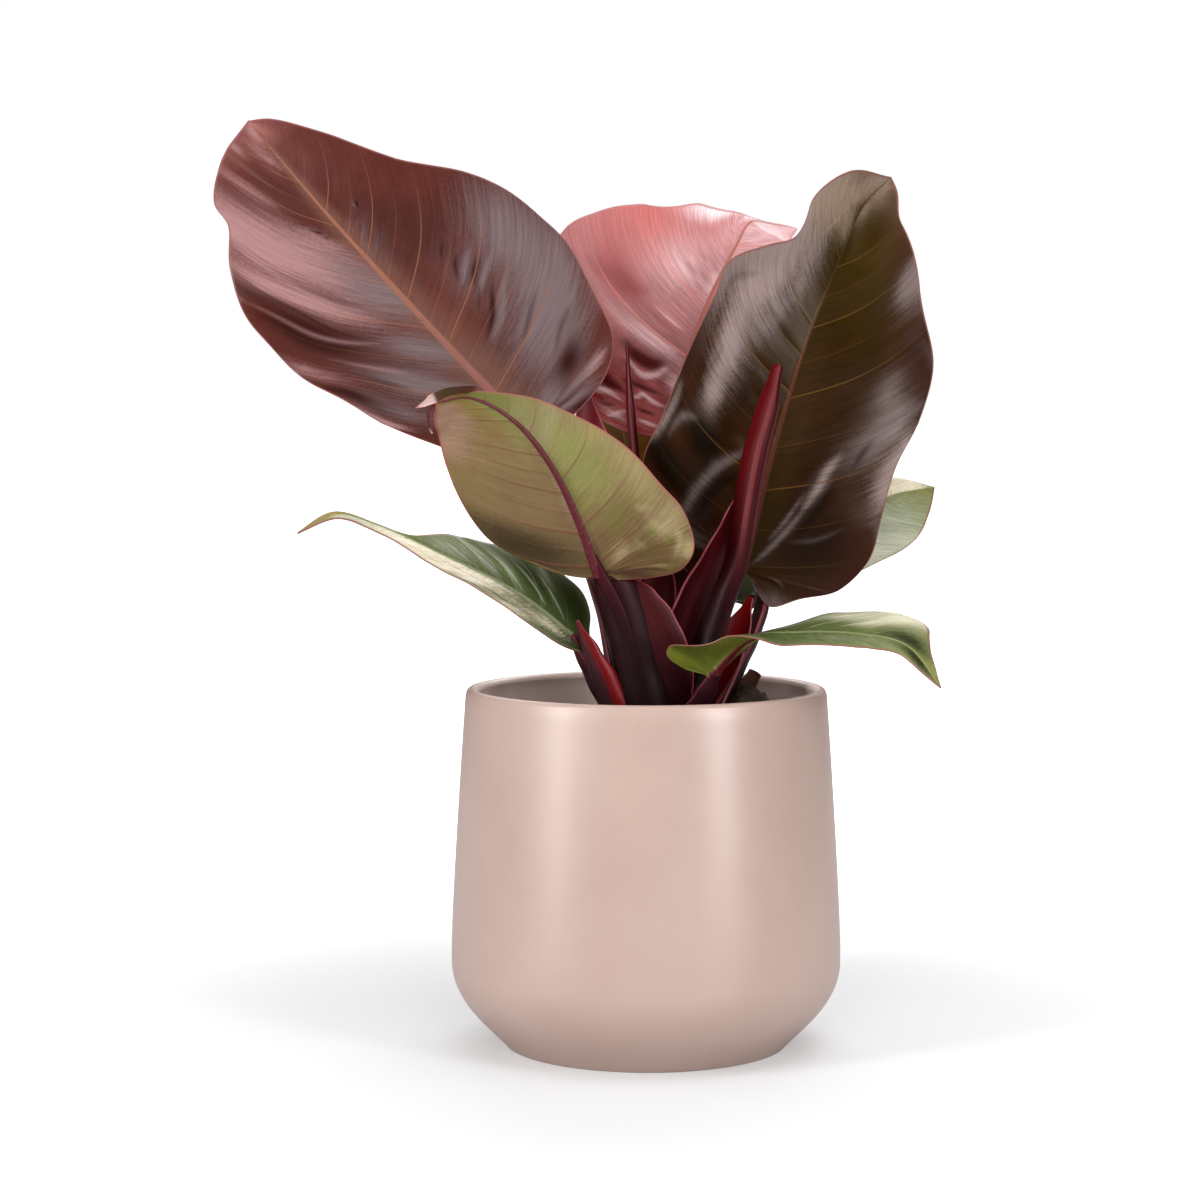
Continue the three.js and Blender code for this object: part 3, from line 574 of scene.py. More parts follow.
leaves["redLeaf"] = {
    "node": "leaf_back", "slot": "red_leaf", "look": "redLeaf",
    "midrib": [
        (9.5, 44, 247), (16.5, 54, 278), (27, 66, 307), (39, 80, 331), (45, 88, 341), (54, 99, 341.3),
        (67, 112, 340),
    ],
    "face": (0.05, -1, 0.6), "halfWidth": 62, "rib": 1.8, "seed": 5, "rumple": 0.7,
    "left": {
        "outline": [
            (1, 6), (0, 13), (-0.5, 19), (0.5, 25), (3, 32), (10, 47.5), (30, 61.5), (52, 70.5),
            (75, 71.5), (86, 62), (97, 44), (103, 32), (107, 23.5), (108, 17), (110, 10), (115, 2.6),
            (126, 1), (138, 0.6),
        ],
        "fold": [10, 10, 10, 8, 4], "bend": [-10, -14, -18, -12, -8],
        "wave": (0.5, 3, 0.2), "lead": (0.3, 1.7),
        "veins": [38, 50, 62, 75, 90, 104, 116],
        "strokes": [
            ("blushHighlight", 1.2, 1, 0.9, [(22.5, 0.36), (21.2, 0.3), (20.2, 0.24), (23, 0.16), (28.5, 0.1)]),
            ("shade", 2, 1, -1, [(27.5, 0.38), (25, 0.3), (26.2, 0.2), (30.5, 0.12)]),
            ("blushHighlight", 1, 1, 0.8, [(10, 0.3), (11.5, 0.26), (13.5, 0.22), (12.6, 0.15), (12.8, 0.06)]),
            ("shade", 1.3, 0.9, -0.8, [(15, 0.36), (16, 0.27), (16.5, 0.18), (17.5, 0.08)]),
            ("blushHighlight", 1.2, 0.9, 0.8, [(6.6, 0.66), (6.9, 0.56), (8.2, 0.46), (7.5, 0.37)]),
            ("shade", 1.3, 0.9, -0.7, [(10.2, 0.6), (10.8, 0.5), (11.6, 0.4), (11, 0.33)]),
            ("blushHighlight", 1, 0.9, 0.6, [(-5.7, 0.59), (-1, 0.5), (2.2, 0.42), (4.5, 0.34)]),
            ("shade", 1, 0.8, -0.5, [(2.5, 0.6), (3.6, 0.5), (5, 0.42)]),
            ("blushHighlight", 0.9, 0.9, 0.6, [(3, 0.27), (3.3, 0.2), (3.6, 0.14), (4, 0.08)]),
            ("shade", 1, 0.9, -0.5, [(7, 0.28), (7.5, 0.2), (8, 0.12)]),
            ("blushHighlight", 1, 0.6, 0.4, [(37, 0.06), (35.5, 0.2), (36, 0.36)]),
            ("rosyToneAndShade", 1, 0.6, -0.4, [(44, 0.06), (43, 0.2), (43, 0.4)]),
            ("blushHighlight", 1, 0.6, 0.4, [(47, 0.08), (46, 0.22), (46, 0.36)]),
            ("rosyToneAndShade", 1, 0.5, -0.4, [(55, 0.08), (54, 0.2), (54, 0.36)]),
            ("blushHighlight", 1.1, 0.6, 0.4, [(66, 0.2), (66, 0.34), (64, 0.5)]),
            ("rosyToneAndShade", 1, 0.5, -0.3, [(69, 0.25), (69, 0.4), (68, 0.5)]),
            ("rosyToneAndShade", 3, 0.6, -0.3, [(36, 0.8), (40, 0.66), (44, 0.54), (48, 0.46)]),
        ],
        "tintsAndPaintedLight": [
            ("blushHighlight", 34, 3.5, 0.28, 0.3, 0.9), ("blushHighlight", 66, 10, 0.5, 0.28, 0.8),
            ("pearlBacklight", 112, 9, 0.8, 0.4, 0.7), ("blushHighlight", 74, 10, 0.03, 0.12, 0.8),
            ("coral", 62, 24, 0.95, 0.28, 0.8), ("coral", 86, 8, 0.7, 0.3, 0.4),
            ("pearlBacklight", 90, 12, 1, 0.13, 1), ("shade", 26, 3, 0.24, 0.2, 0.8),
            ("shade", 12, 3.5, 0.52, 0.16, 0.8), ("rosyToneAndShade", 42, 8, 0.62, 0.25, 0.8),
            ("blushHighlight", 24, 5, 0.02, 0.08, 0.8), ("blushHighlight", 0, 3, 0.46, 0.16, 0.6),
        ],
    },
    "right": {
        "outline": [
            (1, 6), (0, 13), (-0.5, 19), (1, 34), (14, 46), (35, 54), (58, 57), (78, 54), (98, 42),
            (116, 26), (132, 10),
        ],
        "fold": [10, 10, 10, 8, 4], "bend": [-10, -14, -18, -12, -8],
        "wave": (2, 4, 0.5), "lead": (0.3, 0.8),
        "veins": [-34, -12, 12, 34, 56, 75, 96],
        "tintsAndPaintedLight": [("blushHighlight", 118, 30, 0.4, 0.8, 0.9)],
    },
}
leaves["oliveLeaf"] = {
    "node": "leaf_front", "slot": "olive_leaf", "look": "oliveLeaf",
    "midrib": [
        (-19, -24, 194), (-28, -32, 219), (-38, -38, 239), (-52, -44, 256), (-69, -50, 265),
        (-82, -54, 263),
    ],
    "face": (0.1, 1, 0.35), "steady": 0.6, "halfWidth": 42, "rib": 1.75, "seed": 7, "rumple": 0.15,
    "left": {
        "outline": [
            (-6, 7), (-12, 20), (-15, 33), (-10, 41), (7, 42), (21, 37), (38, 30), (58, 20), (75, 12),
            (92, 4),
        ],
        "fold": [8, 8, 20, 40, 55, 60], "bend": [-10],
        "wave": (0.6, 3, 0.2), "lead": (0.3, 0.7),
        "veins": [-28, -20, -11, -4, 5, 14, 22, 32, 43, 54, 66, 78, 88],
        "strokes": [
            ("moss", 1.5, 0.8, -0.5, [(3, 0.62), (-1, 0.66), (-4, 0.66)]),
            ("moss", 1.4, 0.7, -0.4, [(-7, 0.74), (-10, 0.76), (-13, 0.74)]),
            ("moss", 1.2, 0.5, -0.3, [(8, 0.52), (4, 0.54), (0, 0.54)]),
            ("moss", 1.3, 0.5, -0.4, [(0, 0.42), (-5, 0.44), (-10, 0.44)]),
            ("cream", 1.8, 0.5, 0.4, [(6, 0.7), (0, 0.74), (-6, 0.76)]),
            ("cream", 1.6, 0.5, 0.4, [(-6, 0.86), (-12, 0.86), (-17, 0.84)]),
            ("cream", 1.6, 0.4, 0.4, [(4, 0.48), (-2, 0.5), (-8, 0.52)]),
            ("moss", 1.3, 0.5, -0.4, [(-14, 0.9), (-18, 0.86), (-22, 0.84)]),
            ("earth", 1.2, 0.7, -0.6, [(-26, 0.9), (-27, 0.7), (-28, 0.5)]),
            ("cream", 1.1, 0.4, 0.4, [(-23, 0.92), (-24, 0.78), (-25, 0.6)]),
            ("cream", 1.5, 0.4, 0.3, [(14, 0.66), (10, 0.72), (6, 0.8)]),
            ("moss", 1.5, 0.4, -0.3, [(22, 0.6), (18, 0.66), (14, 0.7)]),
        ],
        "tintsAndPaintedLight": [
            ("lime", 44, 26, 0.45, 0.55, 0.95), ("moss", 84, 20, 0.5, 0.8, 0.9),
            ("moss", 40, 16, 0.06, 0.1, 0.5), ("sand", 30, 20, 0.95, 0.2, 0.6),
            ("earth", -36, 7, 0.6, 0.6, 1), ("earth", -24, 5, 0.25, 0.2, 0.8),
            ("earth", -14, 10, 0.06, 0.1, 0.9), ("cream", -17, 4, 0.95, 0.14, 0.9),
            ("cream", -3, 9, 0.85, 0.25, 0.8), ("cream", 1, 6, 0.3, 0.14, 0.6),
            ("sand", 12, 9, 0.85, 0.2, 0.6), ("earth", 8, 6, 0.05, 0.06, 0.6),
            ("moss", 14, 4, 0.4, 0.14, 0.6),
        ],
    },
    "right": {
        "outline": [
            (1, 5), (5, 11), (12, 19), (23, 29), (33, 37), (48, 41), (62, 40), (76, 35), (89, 26),
            (102, 13),
        ],
        "fold": [8], "bend": [-10],
        "wave": (0.6, 3, 0.7), "lead": (0.8, 2.4),
        "veins": [4, 11, 19, 28, 37, 46, 55, 64, 74, 84],
        "strokes": [
            ("shadow", 1.5, 0.2, -0.3, [(30, 0.3), (30, 0.6), (31, 0.85)]),
            ("shadow", 1.2, 0.15, -0.2, [(58, 0.3), (57, 0.6), (56, 0.85)]),
            ("rose", 1.4, 0.2, 0.2, [(44, 0.4), (44, 0.6), (44, 0.8)]),
        ],
        "tintsAndPaintedLight": [
            ("rose", 76, 20, 0.92, 0.3, 0.95), ("rose", 52, 16, 0.97, 0.16, 0.7),
            ("rose", 96, 8, 0.75, 0.3, 0.9), ("shadow", 8, 11, 0.65, 0.6, 1),
            ("lime", 80, 22, 0.1, 0.2, 0.9), ("rose", 34, 20, 0.05, 0.07, 0.5),
            ("lime", 60, 14, 0.3, 0.14, 0.4),
        ],
    },
}
leaves["lowLeftLeaf"] = {
    "node": "leaf_low_left", "slot": "green_leaf", "look": "greenLeaf",
    "midrib": [
        (-26, -12, 165), (-51, -22, 186), (-82, -34, 203), (-107, -42, 215), (-122, -46, 219),
        (-137, -48, 212),
    ],
    "face": (0.1, -0.4, 1), "halfWidth": 28, "rib": 1.5, "seed": 13, "rumple": 0.2,
    "left": {
        "outline": [
            (-2, 4), (4, 8), (12, 12), (22, 14), (36, 15), (53, 14), (72, 12), (90, 8), (106, 5), (122, 3),
        ],
        "fold": [-8, -6, -4, 0, 10], "bend": [-10],
        "wave": (0.5, 3, 0), "lead": (0.8, 2.6),
        "veins": [8, 26, 44, 64, 86],
        "strokes": [
            ("grass", 1, 0.8, 0, [(12, 0.3), (28, 0.36), (44, 0.36)]),
            ("grass", 1.3, 0.8, 0, [(20, 0.62), (32, 0.72), (46, 0.82)]),
            ("grass", 0.9, 0.8, 0, [(30, 0.9), (42, 0.94), (54, 0.95)]),
            ("grass", 0.7, 0.6, 0, [(40, 0.5), (56, 0.5), (70, 0.5)]),
            ("grass", 0.6, 0.45, 0, [(56, 0.75), (70, 0.75), (84, 0.75)]),
            ("grass", 0.5, 0.35, 0, [(66, 0.3), (80, 0.3), (92, 0.3)]),
        ],
        # cream over this near half is partly painted sheen
        "tintsAndPaintedLight": [
            ("cream", 68, 38, 0.5, 0.9, 1), ("cream", 24, 8, 0.9, 0.2, 0.5),
            ("cream", 16, 10, 0.4, 0.3, 0.6), ("straw", 126, 12, 0.5, 0.9, 0.9),
        ],
    },
    "right": {
        "outline": [
            (-3, 4), (-1, 10), (1, 19), (8, 28), (19, 29), (33, 27), (50, 21.5), (60, 18.5), (70, 14),
            (78, 8), (84, 3.6), (90, 1.4), (100, 1), (110, 1.4), (118, 2.2), (126, 1.5),
        ],
        "fold": [24, 22, 18, 14, 10], "bend": [-10],
        "wave": (0.5, 3, 0.5), "lead": (0.6, 2.6),
        "veins": [-8, 8, 22, 38, 56, 76],
        "strokes": [
            ("silverSheen", 0.7, 0.7, 0.3, [(10, 0.15), (14, 0.4), (18, 0.7)]),
            ("silverSheen", 0.7, 0.7, 0.3, [(20, 0.15), (24, 0.45), (28, 0.75)]),
            ("silverSheen", 0.7, 0.6, 0.3, [(31, 0.15), (35, 0.5), (38, 0.8)]),
            ("grass", 1, 0.6, -0.3, [(40, 0.2), (43, 0.5), (46, 0.8)]),
            ("grass", 0.9, 0.6, -0.3, [(52, 0.2), (55, 0.5), (58, 0.8)]),
            ("grass", 1.2, 0.6, -0.3, [(16, 0.2), (19, 0.5), (22, 0.8)]),
        ],
        "tintsAndPaintedLight": [
            ("silverSheen", 62, 16, 0.6, 0.5, 0.7), ("silverSheen", 34, 3, 0.5, 0.5, 0.6),
            ("silverSheen", 44, 4, 0.5, 0.5, 0.6), ("grass", 2, 14, 0.6, 0.5, 0.9),
            ("grass", 24, 6, 0.5, 0.4, 0.7), ("silverSheen", 14, 2.5, 0.8, 0.2, 0.5),
            ("silverSheen", 26, 3, 0.95, 0.12, 0.7), ("straw", 122, 14, 0.5, 0.9, 0.9),
        ],
    },
}
leaves["lowRightLeaf"] = {
    "node": "leaf_low_right", "slot": "green_leaf", "look": "greenLeaf",
    "midrib": [
        (26, -30, 154), (40, -40, 170), (60, -48, 173), (83, -56, 173), (101, -62, 169), (114, -66, 153),
    ],
    "face": (-0.1, -0.3, 1), "halfWidth": 26, "rib": 1.5, "seed": 17, "rumple": 0.2,
    "left": {
        "outline": [
            (4, 0.8), (9.5, 4), (11.5, 10), (13.5, 15.5), (18, 18.5), (24, 18.5), (40, 19.5), (58, 24),
            (66, 24.3), (74, 21.6), (82, 19.5), (87, 18.5), (90.5, 16.5), (93, 11.5), (97, 6.5), (104, 3),
        ],
        "fold": [-20, -12, 2, 10, 10], "bend": [-10],
        "wave": (0.5, 3, 0), "lead": (0.6, 2.4),
        "veins": [4, 20, 38, 56, 74],
        # the pale and silver marks here are painted sheen
        "strokes": [
            ("pale", 0.8, 0.5, 0.3, [(30, 0.15), (33, 0.4), (36, 0.7)]),
            ("pale", 0.8, 0.5, 0.3, [(44, 0.15), (47, 0.4), (50, 0.7)]),
            ("grass", 0.8, 0.5, -0.3, [(38, 0.2), (41, 0.5), (44, 0.8)]),
            ("grass", 0.9, 0.5, -0.3, [(22, 0.2), (25, 0.5), (28, 0.8)]),
            ("pale", 0.7, 0.5, 0.2, [(56, 0.2), (59, 0.5), (62, 0.8)]),
        ],
        "tintsAndPaintedLight": [
            ("pale", 46, 14, 0.85, 0.3, 0.9), ("pale", 62, 7, 0.75, 0.4, 0.9),
            ("silverSheen", 22, 12, 0.7, 0.3, 0.6), ("grass", 84, 14, 0.5, 0.6, 0.9),
            ("grass", 10, 12, 0.3, 0.3, 0.5), ("grass", 34, 5, 0.3, 0.2, 0.4),
        ],
    },
    "right": {
        "outline": [
            (-1, 3), (-4, 11), (-3, 20), (7, 22), (20, 20), (34, 15), (52, 12), (74, 10), (88, 7),
            (100, 4),
        ],
        "fold": [75, 26, 0, -5, -8, -10], "bend": [0],
        "wave": (0.5, 3, 0.5), "lead": (0.6, 2.4),
        "veins": [4, 20, 38, 56, 74],
        "tintsAndPaintedLight": [("silverSheen", 60, 22, 0.5, 0.4, 0.4), ("grass", 94, 14, 0.5, 0.6, 0.9)],
    },
}
leaves["lowBackLeaf"] = {
    "node": "leaf_low_back", "slot": "green_leaf", "look": "greenLeaf",
    "midrib": [(43, 36, 179), (66, 52, 198), (92, 68, 216), (108, 76, 223), (126, 84, 226)],
    "face": (0, -0.5, 1), "halfWidth": 28, "rib": 1.5, "seed": 19, "rumple": 0.2,
    "left": {
        "outline": [(-4, 5), (-2, 13), (8, 21), (24, 26), (44, 27), (64, 25), (84, 19), (98, 10)],
        "fold": [10], "bend": [-20],
        "wave": (0.5, 3, 0), "lead": (0.6, 2),
        "veins": [-8, 12, 32, 52, 70],
        "tintsAndPaintedLight": [
            ("silverSheen", 50, 34, 0.8, 0.5, 0.9), ("cream", 60, 30, 0.97, 0.16, 1),
            ("cream", 92, 14, 0.5, 0.8, 1), ("grass", 20, 16, 0.5, 0.4, 0.5),
        ],
    },
    "right": {
        "outline": [(-1, 3), (4, 5), (15, 8), (33, 16), (50, 21), (73, 24), (93, 20), (101, 12)],
        "fold": [-30], "bend": [-20],
        "wave": (0.5, 3, 0.5), "lead": (0.6, 2),
        "veins": [12, 32, 52, 70],
        "tintsAndPaintedLight": [("silverSheen", 50, 44, 0.5, 0.7, 1)],
    },
}
leaves["behindLeaf"] = {
    "node": "leaf_behind", "slot": "olive_leaf", "look": "behindLeaf",
    "midrib": [(-4, 60, 196), (-6, 76, 222), (-9, 96, 244), (-13, 118, 258), (-18, 142, 262)],
    "face": (0, -0.7, 1), "halfWidth": 32, "rib": 1.5, "seed": 23, "rumple": 0.3,
    "left": {
        "outline": [(-4, 6), (-3, 15), (8, 24), (26, 30), (48, 31), (70, 25), (88, 14), (98, 5)],
        "fold": [10], "bend": [-20],
        "wave": (0.8, 3, 0), "lead": (0.6, 1.6),
        "veins": [-8, 12, 32, 52, 72],
    },
    "right": {
        "outline": [(-4, 6), (-3, 15), (8, 24), (26, 30), (48, 31), (70, 25), (88, 14), (98, 5)],
        "fold": [10], "bend": [-20],
        "wave": (0.8, 3, 0.5), "lead": (0.6, 1.6),
        "veins": [-8, 12, 32, 52, 72],
    },
}
blade = {
    "thickness": 0.8,
    "rowStep": 0.75,  # between side rows at the midrib
    "columns": 53,
    "spineSteps": 400,
    "marginSteps": 900,
    "fanSpread": 1.3,  # rows that fan round the base lobe stand wider apart
    "fanOrder": 0.75,  # and count by this for each millimetre of margin
    "veinsFrom": 2,  # veins beyond this get three rows of their own, so far apart:
    "veinAside": 0.4,
    "veinWidth": 0.8,
    "veinRise": 0.2,
    "veinSink": 0.1,
    "faint": 0.2,  # every second vein is drawn finer
    "fadeFrom": 1.25,  # veins fade out towards the margin
    "ribWidth": 1.25,
    "ribTaper": 1.2,
    "ribLeast": 0.15,
    "ribAbove": 0.08,
    "ribBelow": 0.9,
    "calmMargin": 12,  # relief fades where a half is narrower than this
    "calmTip": 90,  # and this far before the tip
    "edgeFrom": 1.012,  # the blade thins towards its margin
    "edgeReach": 0.05,
    "edgeThin": 0.04,
    "strokeSteps": 40,
    "strokeSpread": 1.15,  # relief of a stroke against its tint
    "broadFolds": (0.25, (2.5, 5.5), (0.15, 0.4), 1),  # a millimetre, widths, reaches, height
    "fineFolds": (1.2, (0.9, 1.8), (0.08, 0.4), 0.08),
    "flatNearRib": 0.3,
}


# The midrib as even points with their sideways and upward directions
def spineOf(leaf):
    points, length = smoothLine(leaf["midrib"], blade["spineSteps"])
    tangent = unit(np.gradient(points, axis=0))
    whole = unit(points[-1] - points[0])
    steady = leaf.get("steady", 0)
    course = tangent * (1 - steady) + whole * steady
    side = unit(np.cross(course, leaf["face"]))
    normal = unit(np.cross(side, course))
    return {"points": points, "tangent": tangent, "side": side, "normal": normal, "length": length}


def spineAt(spine, a, key):
    values = spine[key]
    k = np.clip(a / spine["length"], 0, 1) * (len(values) - 1)
    return np.stack([np.interp(k, np.arange(len(values)), values[:, i]) for i in range(3)], -1)


# Points of a half blade at a along the midrib and b out from it; hand is the side, -1 or 1
def bladePoints(leaf, spine, half, hand, a, b):
    length = spine["length"]
    t = a / length
    over = (a - np.clip(a, 0, length))[..., None]
    point = spineAt(spine, a, "points") + over * spineAt(spine, a, "tangent")
    fold = np.radians(eased(half["fold"], t))
    bend = np.radians(eased(half["bend"], t)) / leaf["halfWidth"]
    bend = np.where(np.abs(bend) < 1e-6, 1e-6, bend)
    turned = fold + bend * b
    out = (np.sin(turned) - np.sin(fold)) / bend
    height, count, start = half["wave"]
    rise = (np.cos(fold) - np.cos(turned)) / bend
    rise += height * (b / leaf["halfWidth"]) ** 2 * np.sin(2 * np.pi * (count * t + start))
    side, normal = unit(spineAt(spine, a, "side")), unit(spineAt(spine, a, "normal"))
    return point + side * (hand * out)[..., None] + normal * rise[..., None]


# Rows that follow the side veins: a root on the midrib and a point of the margin each.
# Rows below the first root spread from it round the base lobe.
def veinRows(half, length):
    count = blade["marginSteps"]
    margin, run = smoothLine([*half["outline"], (length, 0)], count)
    low, high = half["lead"]
    reach = (margin[:, 0] - low * margin[:, 1]) / (1 + (high - low) * margin[:, 1] / length)
    reach = np.maximum.accumulate(reach)
    first = int(np.argmax(reach >= 0))
    step = run / (count - 1)
    rows = int(first * step / (blade["rowStep"] * blade["fanSpread"])) + 2
    fan = np.linspace(0, first, rows, endpoint=False)
    roots = set(np.arange(0, length, blade["rowStep"]).tolist())
    aside = blade["veinAside"]
    for vein in half["veins"]:
        if vein > blade["veinsFrom"]:
            roots |= {vein - aside, vein + 0.0, vein + aside}
    roots = np.array(sorted(r for r in roots if r < length - 0.5) + [length])
    place = np.interp(roots, reach + np.arange(count) * 1e-6, np.arange(count))
    place[-1] = count - 1
    place = np.r_[fan, place]
    edge = np.stack([np.interp(place, np.arange(count), margin[:, k]) for k in range(2)], 1)
    root = np.r_[np.zeros(len(fan)), roots]
    order = np.r_[-(first - fan) * step * blade["fanOrder"], roots]
    return root, edge, order


# How far along its row's run a point lies, at a share of the way out to the margin:
# side veins leave the midrib straight and hook forward near the margin
def veinCourse(share):
    return 0.55 * share + 0.45 * share**3.5


# Columns stand closer at the midrib and at the margin
def columnShares(count):
    even = np.linspace(0, 1, count)
    return 0.35 * even + 0.65 * (1 - np.cos(np.pi * even)) / 2


# A soft strip along the veins: root, width, place out, reach
def strip(order, share, root, width, place, reach):
    return np.exp(-((order - root) / width) ** 2 - ((share - place) / reach) ** 2)


# How near each point lies to a line drawn over the blade, 1 on it, thinning to its ends
def nearness(order, share, halfWidth, width, drawn):
    line, _ = smoothLine(np.array(drawn, float) * (1, halfWidth), blade["strokeSteps"])
    taper = np.sin(np.pi * np.linspace(0.06, 0.94, blade["strokeSteps"])) ** 0.6
    near = np.zeros_like(share)
    for (root, out), thin in zip(line, taper):
        away = ((order - root) ** 2 + (share * halfWidth - out) ** 2) / (width * (0.4 + 0.6 * thin)) ** 2
        near = np.maximum(near, thin * np.exp(-away))
    return near


# Tints and strokes laid over each other: their mixed colour and how much they cover.
# Many of them are painted light: sheens, highlights and shade.
def tintsAndPaintedLightOf(leaf, half, look, order, share):
    cover = np.zeros_like(share)
    mixed = np.zeros((*share.shape, 3))
    laid = []
    for name, *where, strength in half.get("tintsAndPaintedLight", []):
        laid.append((name, strength * strip(order, share, *where)))
    for name, width, strength, _, drawn in half.get("strokes", []):
        laid.append((name, strength * nearness(order, share, leaf["halfWidth"], width, drawn)))
    for name, part in laid:
        tone = np.array(paint(*look["names"][name])[:3])
        mixed = mixed * (1 - part[..., None]) + tone * part[..., None]
        cover = cover + part - cover * part
    return mixed / np.maximum(cover, 1e-4)[..., None], cover


# Raised and sunk strokes, with broad and fine seeded folds all over
def reliefOf(leaf, half, hand, order, share, length):
    generator = np.random.default_rng(leaf["seed"] * 2 + (hand > 0))
    low = order.min()
    total = np.zeros_like(share)
    for _, width, _, rise, drawn in half.get("strokes", []):
        total += rise * nearness(order, share, leaf["halfWidth"], width * blade["strokeSpread"], drawn)
    for often, widths, reaches, height in (blade["broadFolds"], blade["fineFolds"]):
        for _ in range(int(length * often)):
            where = (generator.uniform(low, length), generator.uniform(*widths),
                     generator.uniform(0.1, 1), generator.uniform(*reaches))
            total += generator.normal() * (leaf["rumple"] * height) * strip(order, share, *where)
    return total * np.clip(share / blade["flatNearRib"], 0, 1)


# Half the blade's thickness above and below its middle face, with its veins and midrib
def bladeDepths(share, crease, ridge, ribHalf):
    thinning = np.clip((blade["edgeFrom"] - share) / blade["edgeReach"], blade["edgeThin"], 1)
    thin = blade["thickness"] / 2 * np.sqrt(thinning)
    upper = thin - crease * blade["veinSink"] + ridge * ribHalf * blade["ribAbove"]
    lower = thin + crease * blade["veinRise"] + ridge * ribHalf * blade["ribBelow"]
    lower[-1], upper[-1] = thin[-1, -1], thin[-1, -1]
    return upper, lower


# Faces of a half blade: its upper side, its under side and the strip round its margin
def halfFaces(base, rows, columns, hand):
    size = rows * columns
    grid = base + np.arange(size).reshape(rows, columns)
    quads = np.stack([grid[:-1, :-1], grid[:-1, 1:], grid[1:, 1:], grid[1:, :-1]], -1).reshape(-1, 4)
    rim = np.concatenate([grid[0, ::-1], grid[1:, -1]])
    around = np.stack([rim[:-1], rim[:-1] + size, rim[1:] + size, rim[1:]], -1)
    under = quads[:, ::-1] + size
    sheets = [quads, under, around] if hand > 0 else [quads[:, ::-1], under[:, ::-1], around[:, ::-1]]
    return np.concatenate(sheets).tolist()


def makeHalf(leaf, look, spine, hand):
    half = leaf["left"] if hand < 0 else leaf["right"]
    length = spine["length"]
    root, edge, order = veinRows(half, length)
    share = columnShares(blade["columns"])[None, :]
    a = root[:, None] + (edge[:, :1] - root[:, None]) * veinCourse(share)
    b = edge[:, 1:] * share
    share, order = np.broadcast_arrays(share, order[:, None])

    def placed(alongBy, outBy):
        return bladePoints(leaf, spine, half, hand, a + alongBy, b + outBy)

    middle = placed(0, 0)
    normal = unit(np.cross((placed(0, 1) - placed(0, -1)) * hand, placed(1, 0) - placed(-1, 0)))
    normal[:, 0] = unit(spineAt(spine, a[:, 0], "normal"))
    normal[-1] = normal[-1, 0]
    veins = np.array(half["veins"], float)
    gap = (np.abs(order[..., None] - veins) + blade["faint"] * (np.arange(len(veins)) % 2)).min(-1)
    crease = np.exp(-((gap / blade["veinWidth"]) ** 2)) * np.clip(blade["fadeFrom"] - share, 0, 1)
    taper = (1 - np.clip(a / length, 0, 1)) ** blade["ribTaper"]
    ribHalf = leaf["rib"] * blade["ribWidth"] * taper + blade["ribLeast"]
    fromRib = np.hypot(b, np.minimum(a, 0))
    ridge = np.sqrt(np.clip(1 - (fromRib / ribHalf) ** 2, 0, 1))
    calm = np.clip(edge[:, 1:] / blade["calmMargin"], 0, 1)
    calm = calm * np.clip((length - order) / blade["calmTip"], 0, 1)
    middle = middle + normal * (calm * reliefOf(leaf, half, hand, order, share, length))[..., None]
    upper, lower = bladeDepths(share, crease, ridge, ribHalf)
    tint, cover = tintsAndPaintedLightOf(leaf, half, look, order, share)
    points = [(middle + normal * upper[..., None]).reshape(-1, 3),
              (middle - normal * lower[..., None]).reshape(-1, 3)]
    readings = {
        "along": a / length,
        "across": share * hand,
        "order": order,
        "vein": gap,
        "rib": fromRib / ribHalf,
        "margin": (1 - share) * np.hypot(edge[:, :1] - root[:, None], edge[:, 1:]),
        "tintAndPaintedLightCover": cover,
    }
    readings = {key: [value.ravel()] * 2 for key, value in readings.items()}
    readings["tint"] = [np.insert(tint.reshape(-1, 3), 3, 1, axis=1)] * 2
    readings["upper"] = [np.ones(share.size), np.zeros(share.size)]
    return points, readings, share.shape


def makeLeaf(name, leaf, look, material):
    spine = spineOf(leaf)
    points, faces, readings = [], [], {}
    for hand in (-1, 1):
        halfPoints, halfReadings, shape = makeHalf(leaf, look, spine, hand)
        faces += halfFaces(sum(len(part) for part in points), *shape, hand)
        points += halfPoints
        for key, values in halfReadings.items():
            readings[key] = readings.get(key, []) + values
    readings = {key: np.concatenate(values) for key, values in readings.items()}
    makePiece(name, np.vstack(points), faces, material, [leaf["node"]], readings)


